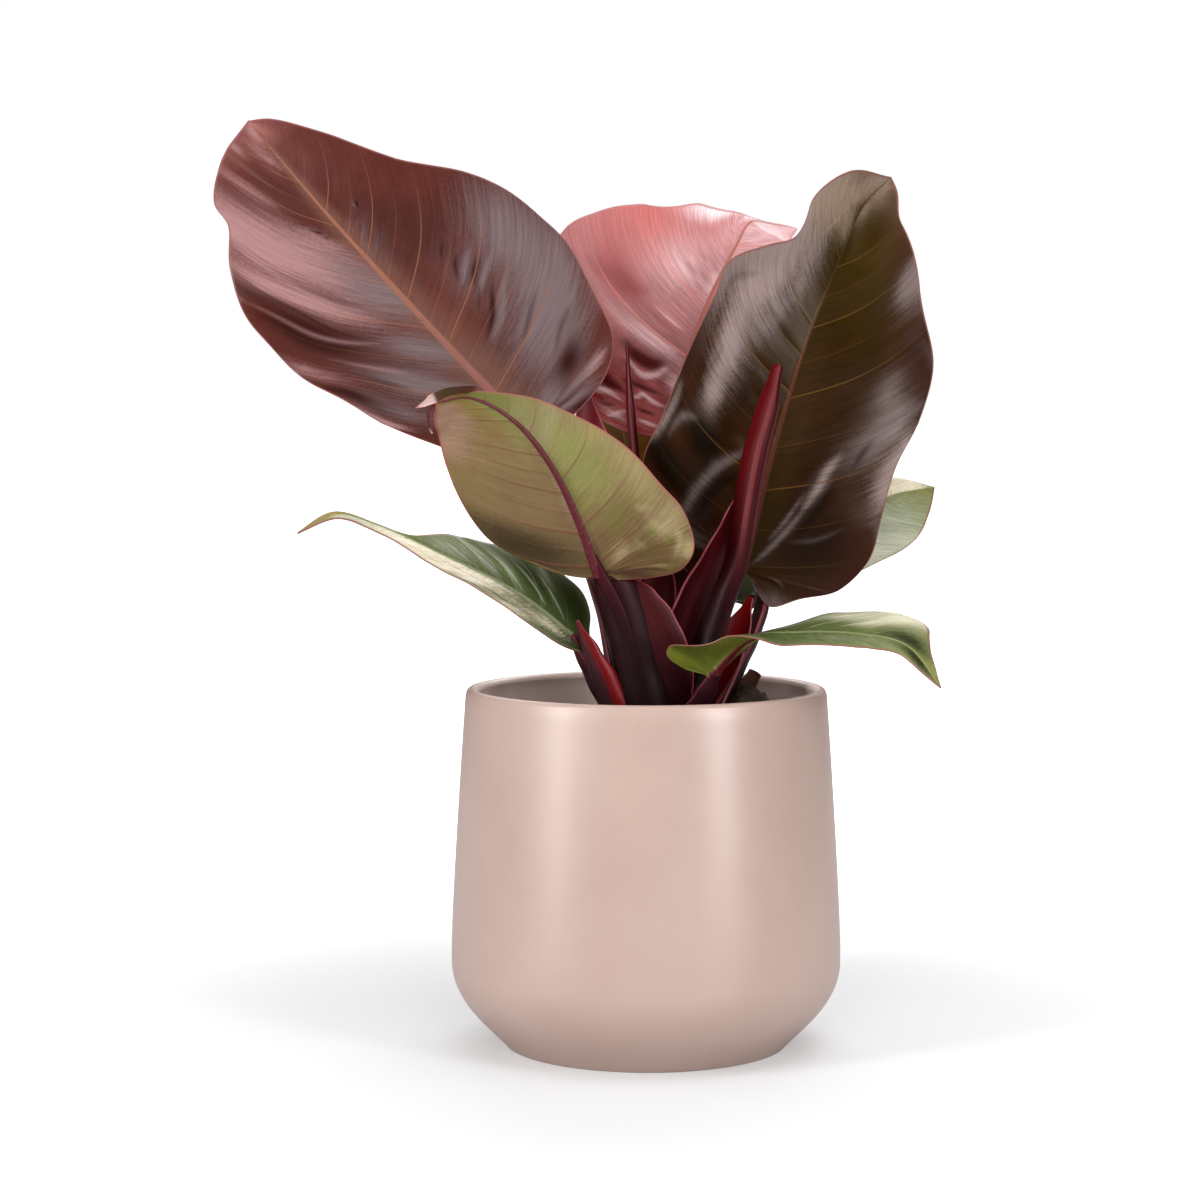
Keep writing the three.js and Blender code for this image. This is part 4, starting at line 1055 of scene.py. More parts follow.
# Leaf finishes, with tones from base to tip: the blade and its sides and margin, the named
# tones that tints and strokes use, midrib, side veins, underside, gloss, blots and lines
leafLooks = {
    "burgundyLeaf": {
        "tones": [
            (0, (78, 42, 36)), (0.35, (76, 38, 33)), (0.7, (70, 34, 30)), (0.9, (100, 53, 48)),
            (1, (164, 106, 100)),
        ],
        "edgeTone": (84, 34, 28), "edgeShare": 0.6, "ribSide": (108, 74, 63), "ribSideShare": 0.8,
        # sheen and grey are painted sheen here, shade is painted shade of folds
        "names": {"sheen": (156, 116, 115), "greySheen": (108, 91, 92), "shade": (44, 9, 4)},
        "underRib": (96, 26, 40),
        "ribTones": [(0, (128, 82, 80)), (0.45, (138, 90, 72)), (1, (140, 90, 68))],
        "veinTone": (134, 84, 56), "veinShare": 0.85, "marginTone": (140, 84, 84),
        "under": [(0, (100, 44, 50)), (1, (126, 58, 58))],
        "roughness": 0.3, "shine": 0.2, "blotTone": (92, 44, 34), "blotShare": 0.35, "clouds": 0.26,
        "lines": 0.16,
    },
    "darkLeaf": {
        "tones": [
            (0, (42, 18, 4)), (0.4, (40, 20, 2)), (0.62, (42, 27, 1)), (0.75, (48, 36, 4)),
            (0.86, (80, 62, 34)), (1, (132, 110, 92)),
        ],
        "edgeTone": (54, 25, 14), "edgeShare": 0.7, "ribSide": (46, 32, 3), "ribSideShare": 0.75,
        # sheen and mauve are painted sheen, shade is painted shade of folds; beige is partly the paler
        # tip's colour and partly painted sheen
        "names": {
            "sheen": (140, 121, 116), "mauve": (108, 93, 90), "bronze": (48, 30, 13), "rust": (44, 20, 12),
            "shade": (16, 7, 1), "beigeAndSheen": (140, 120, 104), "olive": (48, 31, 2), "umber": (60, 33, 23),
        },
        "underRib": (84, 22, 34),
        "ribTones": [(0, (80, 40, 32)), (0.5, (78, 42, 26)), (0.75, (66, 54, 22)), (1, (106, 92, 56))],
        "veinTone": (98, 66, 24), "veinShare": 0.7, "marginTone": (130, 84, 76),
        "under": [(0, (80, 32, 38)), (1, (96, 46, 46))],
        "roughness": 0.3, "shine": 0.1, "blotTone": (54, 32, 10), "blotShare": 0.35, "clouds": 0.3,
        "lines": 0.2,
    },
    "redLeaf": {
        # towards the tip the pinks are partly the leaf's own and partly painted glow of light through it
        "tones": [
            (0, (134, 24, 28)), (0.14, (134, 34, 36)), (0.22, (146, 76, 76)), (0.4, (178, 122, 122)),
            (0.8, (212, 154, 156)), (1, (234, 178, 180)),
        ],
        "edgeTone": (186, 106, 102), "edgeShare": 0.5, "ribSide": (160, 108, 108), "ribSideShare": 0.3,
        # blush is painted highlight on fold ridges, pearl painted backlight at the thin edge, shade
        # painted fold shadow; rosy is painted shade in the strokes and plain crimson in one tint
        "names": {
            "blushHighlight": (216, 170, 171), "coral": (190, 102, 98), "rosyToneAndShade": (156, 80, 80), "shade": (78, 5, 9),
            "pearlBacklight": (252, 230, 232),
        },
        "underRib": (120, 44, 50),
        "ribTones": [(0, (150, 80, 76)), (0.5, (166, 96, 88)), (1, (190, 120, 110))],
        "veinTone": (214, 128, 118), "veinShare": 0.9, "marginTone": (196, 132, 132),
        "under": [(0, (130, 50, 54)), (1, (160, 80, 78))],
        "roughness": 0.34, "shine": 0.28, "blotTone": (206, 124, 120), "blotShare": 0.25, "clouds": 0.2,
        "lines": 0.26,
    },
    "oliveLeaf": {
        "tones": [(0, (48, 38, 14)), (1, (70, 56, 24))],
        "edgeTone": (96, 78, 46), "edgeShare": 0.3, "ribSide": (56, 42, 20), "ribSideShare": 0.2,
        "names": {
            "lime": (122, 120, 64), "moss": (98, 98, 34), "sand": (142, 126, 84), "earth": (66, 38, 18),
            "cream": (156, 138, 100), "rose": (156, 122, 102), "shadow": (54, 40, 14),
        },
        "underRib": (84, 16, 30), "ribTones": [(0, (100, 74, 48)), (1, (118, 92, 58))],
        "veinTone": (110, 58, 46), "veinShare": 0.85, "marginTone": (156, 80, 74),
        "under": [(0, (94, 74, 38)), (0.3, (116, 94, 60)), (0.6, (124, 102, 64)), (1, (132, 114, 48))],
        "roughness": 0.42, "shine": 0.32, "blotTone": (92, 64, 42), "blotShare": 0.4, "clouds": 0.34,
        "lines": 0.12,
    },
    "greenLeaf": {
        "tones": [(0, (46, 58, 26)), (0.6, (96, 108, 60)), (0.85, (128, 134, 78)), (1, (122, 120, 52))],
        "edgeTone": (132, 140, 102), "edgeShare": 0.4, "ribSide": (62, 76, 42), "ribSideShare": 0.2,
        # silver and pale are painted sheen; cream is partly the leaves' pale colour and partly painted
        # sheen
        "names": {
            "cream": (226, 214, 186), "pale": (204, 200, 170), "silverSheen": (152, 156, 132),
            "grass": (34, 44, 12), "straw": (146, 128, 78),
        },
        "underRib": (92, 22, 26), "ribTones": [(0, (122, 128, 94)), (1, (138, 140, 88))],
        "veinTone": (122, 130, 98), "veinShare": 0.5, "marginTone": (140, 88, 78),
        "under": [(0, (120, 126, 42)), (1, (128, 138, 58))],
        "roughness": 0.3, "shine": 0.4, "blotTone": (60, 76, 30), "blotShare": 0.35, "clouds": 0.3,
        "lines": 0.2,
    },
}
leafLooks["behindLeaf"] = {
    **leafLooks["oliveLeaf"],
    "tones": [(0.0, (120, 72, 22)), (1.0, (92, 66, 16))],
    "edgeTone": (84, 56, 16), "shine": 0.04, "roughness": 0.6,
}
# Grain scales and depths that all leaves share
leafSkin = {
    "cloudScale": 22,
    "mottleScale": 90,
    "lineScale": (1.15, 3.0),  # along the veins' order and across the blade
    "glossScale": 0.16,
    "gritScale": 900,
    "grit": 0.3,
    "ragged": 0.55,
    # where each layer starts and where it is full
    "sides": (0.55, 1.0),
    "besideRib": (0.03, 0.3),
    "clouds": (0.3, 0.7),
    "blots": (0.46, 0.6),
    "cover": (0.08, 0.88),
    "lines": (0.36, 0.66),
    "veins": (0.12, 0.42),
    "veinFade": (0.4, 1.0),
    "rib": (0.6, 1.15),
    "margin": (0.2, 0.7),
    "poreScale": 1000,
    "bump": (0.45, 0.12),
    "shineTint": (1, 0.9, 0.86, 1),
}


def leafMaterial(name, look):
    material, tree, shader = newMaterial(name)
    along, across, order = reading(tree, "along"), reading(tree, "across"), reading(tree, "order")
    upper = reading(tree, "upper")
    out = maths(tree, "ABSOLUTE", across)
    place = objectPlace(tree)
    cloudy = grain(tree, place, leafSkin["cloudScale"], 4)
    # fine lines beside the veins, from a grain drawn out along them
    orderScale, acrossScale = leafSkin["lineScale"]
    drawn = joinAxes(tree, times(tree, order, orderScale), times(tree, across, acrossScale))
    fine = grain(tree, drawn, 1.0, 3, 0.6)
    wide = grain(tree, joinAxes(tree, times(tree, order, leafSkin["glossScale"]), across), 1.0, 2)
    # the blade, darker or lighter towards its margin and beside the midrib
    top = ramp(tree, along, look["tones"])
    sides = times(tree, band(tree, out, *leafSkin["sides"]), look["edgeShare"])
    top = laidOver(tree, top, sides, look["edgeTone"])
    besideRib = band(tree, out, *leafSkin["besideRib"], look["ribSideShare"], 0.0)
    top = laidOver(tree, top, besideRib, look["ribSide"])
    colour = laidOver(tree, ramp(tree, along, look["under"]), upper, top)
    mottled = plus(tree, times(tree, cloudy, 0.6),
                   times(tree, grain(tree, place, leafSkin["mottleScale"], 4, 0.65), 0.4))
    colour = shaded(tree, colour, band(tree, mottled, *leafSkin["clouds"]), look["clouds"])
    blots = band(tree, mottled, *leafSkin["blots"], 0.0, look["blotShare"])
    colour = laidOver(tree, colour, blots, look["blotTone"])
    # tints, painted sheens and painted shade among them, end in the fine lines, not in a soft haze
    grit = times(tree, minus(tree, grain(tree, place, leafSkin["gritScale"], 2), 0.5), leafSkin["grit"])
    ragged = plus(tree, times(tree, minus(tree, fine, 0.5), leafSkin["ragged"]), grit)
    cover = plus(tree, times(tree, reading(tree, "tintAndPaintedLightCover"), 0.9), ragged)
    cover = band(tree, cover, *leafSkin["cover"])
    colour = laidOver(tree, colour, cover, reading(tree, "tint", "Color"))
    colour = shaded(tree, colour, band(tree, fine, *leafSkin["lines"]), look["lines"])
    # then the side veins, the midrib and the margin
    veinLine = times(tree, band(tree, reading(tree, "vein"), *leafSkin["veins"], 1.0, 0.0),
                     band(tree, out, *leafSkin["veinFade"], look["veinShare"], 0.1))
    colour = laidOver(tree, colour, veinLine, look["veinTone"])
    ribTone = laidOver(tree, paint(*look["underRib"]), upper, ramp(tree, along, look["ribTones"]))
    colour = laidOver(tree, colour, band(tree, reading(tree, "rib"), *leafSkin["rib"], 1.0, 0.0), ribTone)
    marginLine = band(tree, reading(tree, "margin"), *leafSkin["margin"], 0.9, 0.0)
    colour = laidOver(tree, colour, marginLine, look["marginTone"])
    roughness = look["roughness"]
    fill(tree, shader, {
        "Base Color": colour,
        "Roughness": plus(tree, band(tree, wide, 0.3, 0.7, roughness - 0.05, roughness + 0.07),
                          band(tree, upper, 0, 1, 0.08, 0.0)),
        "Specular IOR Level": look["shine"],
        "Specular Tint": leafSkin["shineTint"],
    })
    pores = grain(tree, place, leafSkin["poreScale"], 3, 0.6)
    addBump(tree, shader, plus(tree, times(tree, fine, 0.6), times(tree, pores, 0.8)), *leafSkin["bump"])
    return material


leafMaterials = {name: leafMaterial(name + "Skin", look) for name, look in leafLooks.items()}
for leafName, leaf in leaves.items():
    makeLeaf(leafName, leaf, leafLooks[leaf["look"]], leafMaterials[leaf["look"]])
print("leaves made")


# Stalks, sheaths and rolled leaves: the run from the crown up, the way the inner side
# looks, and along the run the half width and depth of the section, the place of its
# inner side (below nought it is hollow) and the curl of its wings in degrees
stems = {
    "frontStalk": {
        "node": "stalk_front", "slot": "stalk", "look": "frontStalk", "face": (0.15, 1, 0.1),
        "path": [
            (2, -12, 126), (-0.5, -14.5, 141), (-4.3, -16, 158), (-6.5, -17, 168), (-9.5, -18, 179),
            (-13, -19, 189), (-15, -18.5, 195),
        ],
        "width": [9.5, 9.8, 10, 10, 10.2, 10.2, 10, 8], "depth": [6, 6, 5.6, 5.2, 5, 4.8, 4.6, 4],
        "hollow": [-1, -1, -1, -1, -0.5, 0, 0, 0], "curl": [60, 60, 60, 60, 60, 62, 66, 80],
    },
    "frontWing": {
        "node": "stalk_front", "slot": "stalk", "look": "wing", "face": (0.05, 1, 0.1),
        "path": [
            (9, -10, 126), (9, -13.5, 141), (9, -16.5, 152.5), (7.5, -18, 161), (5.4, -18.8, 167.5),
            (1.8, -19, 176.5), (-3.4, -19, 185.5), (-8, -18, 192),
        ],
        "width": [8, 9, 10, 10.6, 10.2, 9.2, 7, 2.6], "depth": [1.4, 1.3, 1.2, 1.1, 1, 1, 0.9, 0.8],
        "hollow": [-0.2], "curl": [30, 28, 24, 20, 18, 18, 20, 20],
    },
    "frontKeel": {
        "node": "stalk_front", "slot": "stalk", "look": "keel", "face": (0.25, 1, 0.1),
        "path": [
            (-3.6, -18.4, 150), (-5.6, -20.7, 163), (-8.4, -21.7, 173), (-11.6, -22.7, 181.5),
            (-15, -23.9, 188.5), (-18.6, -25.1, 195.5), (-22.2, -27.4, 203.5),
        ],
        "width": [1, 1.6, 2.2, 2.6, 2.6, 2.3, 1.8], "depth": [0.5, 0.7, 1.1, 1.6, 1.9, 1.9, 1.5],
        "hollow": [0.6, 1, 1.5], "curl": [0],
    },
    "newLeaf": {
        "node": ("stalk_new_leaf", "rolled_leaf"), "slot": "new_leaf", "look": "newLeaf",
        "face": (-0.9, -0.9, 0.2),
        "path": [
            (15, -6, 126), (22, -8, 154), (26, -9, 168), (31, -11, 184), (36, -12, 198), (40, -13, 222),
            (43.5, -14, 242), (48, -13, 259), (52.6, -11, 277),
        ],
        "width": [7.5, 7, 6.4, 5.6, 5.4, 5.6, 5.6, 5.2, 2.6],
        "depth": [6.5, 6, 5.5, 4.8, 4.6, 4.8, 4.8, 4.4, 2.2],
        "hollow": [6, 5.6, 5, 4.2, 3.8, 3.8, 3.6, 3.2, 1.8], "curl": [0, 0, 0, 5, 15, 20, 20, 15, 0],
    },
    "newLeafSheath": {
        "node": "sheath_new_leaf", "slot": "sheath", "look": "sheath", "face": (0.3, -1, 0),
        "path": [
            (8, -2, 126), (9, -3, 142), (12, -4, 158), (18, -5, 175), (24, -6, 190), (31, -7.5, 205),
            (36, -9, 217), (39, -10.5, 229),
        ],
        "width": [13, 13.5, 15, 15.5, 14, 10.5, 6.5, 1], "depth": [2.6, 2.4, 2.2, 2, 1.6, 1.2, 1, 0.7],
        "hollow": [-1, -1, -1, -0.8, -0.4, 0, 0, 0.6], "curl": [75, 75, 75, 75, 75, 75, 60, 10],
    },
    "leftSheath": {
        "node": "sheath_left", "slot": "sheath", "look": "redSheath", "face": (0.5, 1, 0.3),
        "path": [(-9, -12, 126), (-14, -15, 140), (-18, -17, 151), (-23, -18.5, 163), (-27.5, -20, 175)],
        "width": [8, 8, 7, 4.5, 0.9], "depth": [2.6, 2.4, 1.8, 1.4, 0.7],
        "hollow": [-1.2, -1.2, -0.8, -0.4, 0.6], "curl": [75, 75, 70, 55, 10],
    },
    "lowLeftStalk": {
        "node": "stalk_low_left", "slot": "stalk", "look": "stalk", "face": (1, 0, 0.5),
        "path": [(-8, -5, 126), (-14, -8, 141), (-20, -10, 151), (-25, -12, 160), (-29, -13.5, 168)],
        "width": [8, 7, 6, 4, 2.6], "depth": [6, 5.5, 5, 3.6, 2.4],
        "hollow": [-2, -1, 0, 1, 1.4], "curl": [50, 40, 30, 10, 0],
    },
    "lowRightStalk": {
        "node": "stalk_low_right", "slot": "stalk", "look": "stalk", "face": (0, 0.4, 1),
        "path": [(18, -11, 126), (21, -17, 139), (24, -24, 147), (27.5, -31, 155.5)],
        "width": [7, 6, 4, 2.4], "depth": [5, 4.5, 3.5, 2.4],
        "hollow": [-1, 0, 1, 1.2], "curl": [40, 30, 10, 0],
    },
    "upperRightStalk": {
        "node": "stalk_upper_right", "slot": "stalk", "look": "stalk", "face": (-1, -0.4, 0.3),
        "path": [
            (20, 2, 126), (28, 3, 141), (37, 5, 158), (44, 10, 171), (47.5, 15.5, 182), (45.5, 16.5, 190),
            (40.6, 12.8, 196),
        ],
        "width": [9, 9, 8, 6.5, 5, 3.8, 2.2], "depth": [6.5, 6, 5.4, 5, 4, 3.4, 2],
        "hollow": [-2, -1, 0, 1, 1, 1.5, 1.5], "curl": [50, 40, 20, 0, 0, 0, 0],
    },
    "rightSheath": {
        "node": "sheath_right", "slot": "sheath", "look": "openSheath", "face": (-0.4, -1, 0.2),
        "path": [(22, -3, 126), (28, -2, 142), (33, 0, 155), (38, 1, 170), (42.5, 2, 183)],
        "width": [6, 7, 7.6, 6.4, 1.4], "depth": [2.2, 2, 1.6, 1.2, 0.7],
        "hollow": [-1, -1, -0.8, -0.4, 0.6], "curl": [70, 70, 60, 50, 10],
    },
    "middleSheath": {
        "node": "sheath_middle", "slot": "sheath", "look": "sheath", "face": (-0.2, -1, 0),
        "path": [(3, 0, 126), (3, 2, 145), (4, 3, 165), (5, 4, 185), (6, 5, 206)],
        "width": [11, 11, 11, 9, 1], "depth": [2.4, 2.2, 2, 1.6, 0.7],
        "hollow": [-1, -1, -0.8, -0.4, 0.6], "curl": [70, 70, 65, 55, 10],
    },
    "thinRolledLeaf": {
        "node": "thin_rolled_leaf", "slot": "new_leaf", "look": "thinRolled", "face": (-1, -1, 0),
        "path": [(3, 7, 126), (-1, 10, 160), (-3, 15, 200), (-5, 20, 239), (-7, 22, 264), (-8, 24, 286)],
        "width": [4.5, 4.2, 3.6, 2.9, 2.1, 0.6], "depth": [4.5, 4, 3.2, 2.6, 1.9, 0.6],
        "hollow": [3, 3, 2.4, 1.8, 1.4, 0.5], "curl": [0],
    },
    "upperLeftStalk": {
        "node": "stalk_upper_left", "slot": "stalk", "look": "stalk", "face": (0.4, -1, 0.2),
        "path": [
            (-4, 5, 126), (-8, 8, 150), (-14.5, 9.5, 178), (-22, 11, 199), (-38, 12.5, 236),
            (-52, 15, 256),
        ],
        "width": [8, 7.5, 6, 5, 4, 3], "depth": [6, 6, 5.5, 5, 4, 3],
        "hollow": [-2, -1, 0, 1, 1, 1.5], "curl": [50, 40, 20, 0, 0, 0],
    },
    "backSheath": {
        "node": "sheath_back", "slot": "sheath", "look": "mauveSheath", "face": (0.3, -1, 0),
        "path": [
            (-3, 12, 126), (-10, 16, 155), (-16, 20, 190), (-20.5, 22, 225), (-24.3, 22, 248),
            (-25.2, 22, 271),
        ],
        "width": [7, 7.5, 8, 9.5, 10, 1.5], "depth": [2.4, 2.2, 2, 1.8, 1.4, 0.7],
        "hollow": [-1, -1, -1, -0.8, -0.4, 0.6], "curl": [60, 60, 60, 60, 50, 10],
    },
    "backStalk": {
        "node": "stalk_back", "slot": "stalk", "look": "stalk", "face": (0, -1, 0.3),
        "path": [(6, 12, 126), (9, 20, 160), (11.5, 32, 197), (11.5, 40, 232), (10.5, 46, 251)],
        "width": [9, 9.5, 8, 4.5, 3], "depth": [6, 6, 5, 4, 3],
        "hollow": [-2, -1, 1, 1, 1.5], "curl": [50, 40, 0, 0, 0],
    },
    "lowBackStalk": {
        "node": "stalk_low_back", "slot": "stalk", "look": "stalk", "face": (-0.5, -0.5, 1),
        "path": [(14, 9, 126), (24, 19, 145), (35, 30, 164), (44.5, 37.5, 181)],
        "width": [6, 5, 4, 2.4], "depth": [5, 4.5, 3.5, 2.4],
        "hollow": [-1, 0, 1, 1.2], "curl": [40, 20, 0, 0],
    },
    "behindStalk": {
        "node": "stalk_behind", "slot": "stalk", "look": "stalk", "face": (0, -0.6, 1),
        "path": [(-2, 12, 126), (-4, 28, 148), (-5, 45, 174), (-4.2, 62.5, 200)],
        "width": [6, 5, 4, 2.4], "depth": [5, 4.5, 3.5, 2.4],
        "hollow": [-1, 0, 1, 1.2], "curl": [40, 20, 0, 0],
    },
    "dryScale": {
        "node": "dry_scale", "slot": "dry_sheath", "look": "dry", "face": (-0.3, -1, 0.4),
        "path": [(26, 5, 128), (35, 6, 137), (41, 6.5, 145), (45, 7, 152)],
        "width": [3, 5, 4.6, 3], "depth": [1.2, 1, 1, 0.8],
        "hollow": [-0.2, 0, 0, 0], "curl": [50, 50, 40, 20],
    },
    "curledTip": {
        "node": "leaf_front", "slot": "olive_leaf", "look": "leafTip", "face": (0, -1, 0),
        "path": [
            (-66.3, -52, 268.6), (-70.6, -52, 268.2), (-74.5, -52.5, 267.8), (-78.5, -53, 266.9),
            (-81.2, -53.5, 265.5), (-83.2, -54, 264.6), (-86.3, -54.5, 262.6), (-89.6, -55, 261.2),
        ],
        "width": [0.9, 1.4, 1.4, 1.6, 1.8, 2, 1.1, 0.3], "depth": [0.5],
        "hollow": [0], "curl": [0],
    },
    "curledEdge": {
        "node": "leaf_front", "slot": "olive_leaf", "look": "curl", "face": (0, -1, 0),
        "path": [
            (-82.7, -53.5, 262.6), (-84.4, -53, 259.3), (-84.9, -52.5, 256.2), (-84.4, -52, 253),
            (-83.6, -52, 251.3),
        ],
        "width": [0.5, 0.7, 0.7, 0.6, 0.4], "depth": [0.5],
        "hollow": [0], "curl": [0],
    },
}
section = {"edge": 0.7, "steps": 22, "rowStep": 1.6, "tipRows": 6, "lineSteps": 300, "tipThin": 0.02}


# One ring of a stem's section at a share t of its run, shrunk and moved ahead at the tip
def stemRing(stem, line, tangents, angle, t, shrink, ahead):
    i = t * (len(line) - 1)
    low = min(int(i), len(line) - 2)
    centre = line[low] + (line[low + 1] - line[low]) * (i - low)
    tangent = unit(tangents[low])
    side = unit(np.cross(tangent, stem["face"]))
    normal = np.cross(side, tangent)
    width, depth, hollow, curl = (
        float(eased(stem[key], np.array([t]))[0]) for key in ("width", "depth", "hollow", "curl"))
    curl = math.radians(curl) / width
    edge = section["edge"] / 2
    outer = np.stack([-width * np.cos(angle), -edge - (depth - edge) * np.sin(angle)], 1)
    inner = np.stack([width * np.cos(angle), edge + (hollow - edge) * np.sin(angle)], 1)
    x, y = (np.vstack([outer, inner]) * shrink).T
    turn = curl * x
    over = np.sin(turn) / curl if curl else x
    rise = (1 - np.cos(turn)) / curl if curl else 0 * x
    reach = min(width, max(depth, 1)) * 0.8 * ahead
    return (centre + tangent * reach + side * (over - y * np.sin(turn))[:, None]
            + normal * (rise + y * np.cos(turn))[:, None])


def makeStem(name, stem, material):
    line, length = smoothLine(stem["path"], section["lineSteps"])
    rows, tipRows = int(length / section["rowStep"]), section["tipRows"]
    tangents = unit(np.gradient(line, axis=0))
    angle = np.pi * np.arange(section["steps"] + 1) / section["steps"]
    stations = [(i / rows, 1.0, 0.0) for i in range(rows + 1)]
    for k in range(1, tipRows + 1):
        turn = math.pi / 2 * k / tipRows
        stations.append((1.0, max(math.cos(turn), section["tipThin"]), math.sin(turn)))
    points = [stemRing(stem, line, tangents, angle, *station) for station in stations]
    ring, total = len(points[0]), len(points) * len(points[0])
    faces = ringFaces(total, ring).tolist()
    faces += [list(range(ring)), list(range(total - 1, total - ring - 1, -1))]
    readings = {
        "along": np.repeat([t for t, _, _ in stations], ring),
        "across": np.tile(np.concatenate([-np.cos(angle), np.cos(angle)]), len(points)),
        "inner": np.tile(np.repeat([0.0, 1.0], len(angle)), len(points)),
    }
    nodes = stem["node"] if isinstance(stem["node"], tuple) else [stem["node"]]
    makePiece(name, np.vstack(points), faces, material, nodes, readings)


# Stalk finishes, with tones from the soil up: the outer side, the inner side where it
# differs, and the edges, which start at rim. A wing is (from, to, share at from, share
# at to, tone) across the outer side; a gleam is a painted highlight, a stripe along the
# stalk, (middle, reach, share, start, tone).
stalkLooks = {
    "stalk": {
        "outer": [(0, (26, 12, 14)), (0.5, (40, 18, 24)), (1, (64, 24, 32))],
        "inner": [(0, (40, 8, 12)), (1, (66, 16, 24))],
        "edge": (112, 50, 56), "roughness": 0.32,
    },
    # front stalk and wing nearly black near the soil: own dark colour with painted shade under the leaves
    "frontStalk": {
        "outer": [
            (0, (11, 3, 3)), (0.3, (24, 10, 10)), (0.62, (34, 15, 18)), (0.85, (38, 14, 18)),
            (1, (52, 14, 22)),
        ],
        "inner": [(0, (40, 8, 12)), (1, (66, 14, 24))],
        "gleam": (0.95, 0.09, 0.8, 0.05, (116, 90, 92)),
        "edge": (104, 78, 80), "roughness": 0.46, "shine": 0.12,
    },
    "wing": {
        "outer": [
            (0, (12, 2, 3)), (0.25, (32, 5, 8)), (0.4, (42, 6, 10)), (0.75, (60, 7, 12)),
            (1, (66, 10, 16)),
        ],
        "inner": [(0, (40, 8, 12)), (1, (66, 14, 24))],
        "edge": (164, 66, 76), "rim": 0.9, "roughness": 0.42,
    },
    "keel": {
        "outer": [(0, (32, 14, 16)), (0.4, (36, 14, 18)), (0.7, (52, 14, 22)), (1, (70, 14, 26))],
        "inner": [(0, (32, 14, 16)), (1, (70, 14, 26))],
        "edge": (44, 14, 20), "roughness": 0.46, "shine": 0.12,
    },
    "newLeaf": {
        "outer": [
            (0, (22, 12, 13)), (0.25, (27, 17, 18)), (0.38, (34, 16, 19)), (0.5, (46, 7, 11)),
            (0.75, (52, 5, 9)), (1, (66, 7, 12)),
        ],
        "inner": [
            (0, (22, 12, 13)), (0.25, (27, 17, 18)), (0.38, (36, 14, 17)), (0.5, (50, 6, 10)),
            (0.75, (78, 4, 8)), (1, (88, 6, 11)),
        ],
        "gleam": (0.8, 0.24, 0.8, 0.4, (108, 52, 54)),
        "edge": (50, 7, 12), "roughness": 0.38, "shine": 0.09,
    },
    "thinRolled": {
        "outer": [(0, (42, 9, 13)), (1, (56, 9, 13))],
        "inner": [(0, (58, 12, 17)), (1, (80, 10, 15))],
        "edge": (44, 7, 10), "roughness": 0.32,
    },
    "sheath": {
        "outer": [(0, (48, 13, 18)), (1, (76, 18, 26))],
        "inner": [(0, (40, 9, 13)), (0.6, (60, 10, 16)), (1, (80, 15, 21))],
        "edge": (138, 64, 70), "roughness": 0.34,
    },
    "redSheath": {
        "outer": [(0, (38, 20, 22)), (0.6, (54, 30, 34)), (1, (80, 36, 40))],
        "inner": [(0, (70, 5, 8)), (1, (110, 6, 11))],
        "wing": (-0.5, -0.1, 1, 0, (112, 6, 11)),
        "edge": (140, 76, 80), "roughness": 0.3,
    },
    "openSheath": {
        "outer": [(0, (40, 22, 25)), (0.6, (60, 34, 40)), (1, (84, 38, 44))],
        "inner": [(0, (66, 5, 8)), (1, (104, 6, 10))],
        "edge": (140, 76, 80), "roughness": 0.3,
    },
    "mauveSheath": {
        "outer": [(0, (50, 16, 22)), (1, (104, 18, 28))],
        "inner": [(0, (50, 16, 22)), (1, (102, 18, 28))],
        "edge": (180, 96, 100), "rim": 0.9, "roughness": 0.4,
    },
    "leafTip": {
        "outer": [
            (0, (70, 26, 20)), (0.2, (58, 30, 15)), (0.5, (50, 42, 13)), (0.64, (70, 47, 30)),
            (0.7, (186, 156, 150)), (0.92, (194, 166, 162)), (1, (176, 94, 74)),
        ],
        "edge": (150, 74, 64), "roughness": 0.4,
    },
    "curl": {
        "outer": [(0, (90, 38, 34)), (0.8, (72, 30, 28)), (1, (160, 132, 124))],
        "edge": (112, 54, 50), "roughness": 0.4,
    },
    "dry": {
        "outer": [(0, (56, 29, 22)), (1, (84, 48, 38))],
        "inner": [(0, (56, 29, 22)), (1, (78, 44, 34))],
        "edge": (96, 62, 50), "roughness": 0.7,
    },
}
# Grain scales and depths that all stalks share
stalkSkin = {
    "streakScale": (2.0, 9.0, 5.0),  # along, across and between the two sides
    "cloudScale": 45,
    "depth": 0.5,
    "rim": 0.965,
    "rimFull": 0.99,
    "rimShare": 0.8,
    "gleamCore": 0.3,  # of its reach
    "gleamFade": 0.25,
    "shine": 0.24,
    "shineTint": (1, 0.7, 0.72, 1),
    "bump": (0.1, 0.3),
}


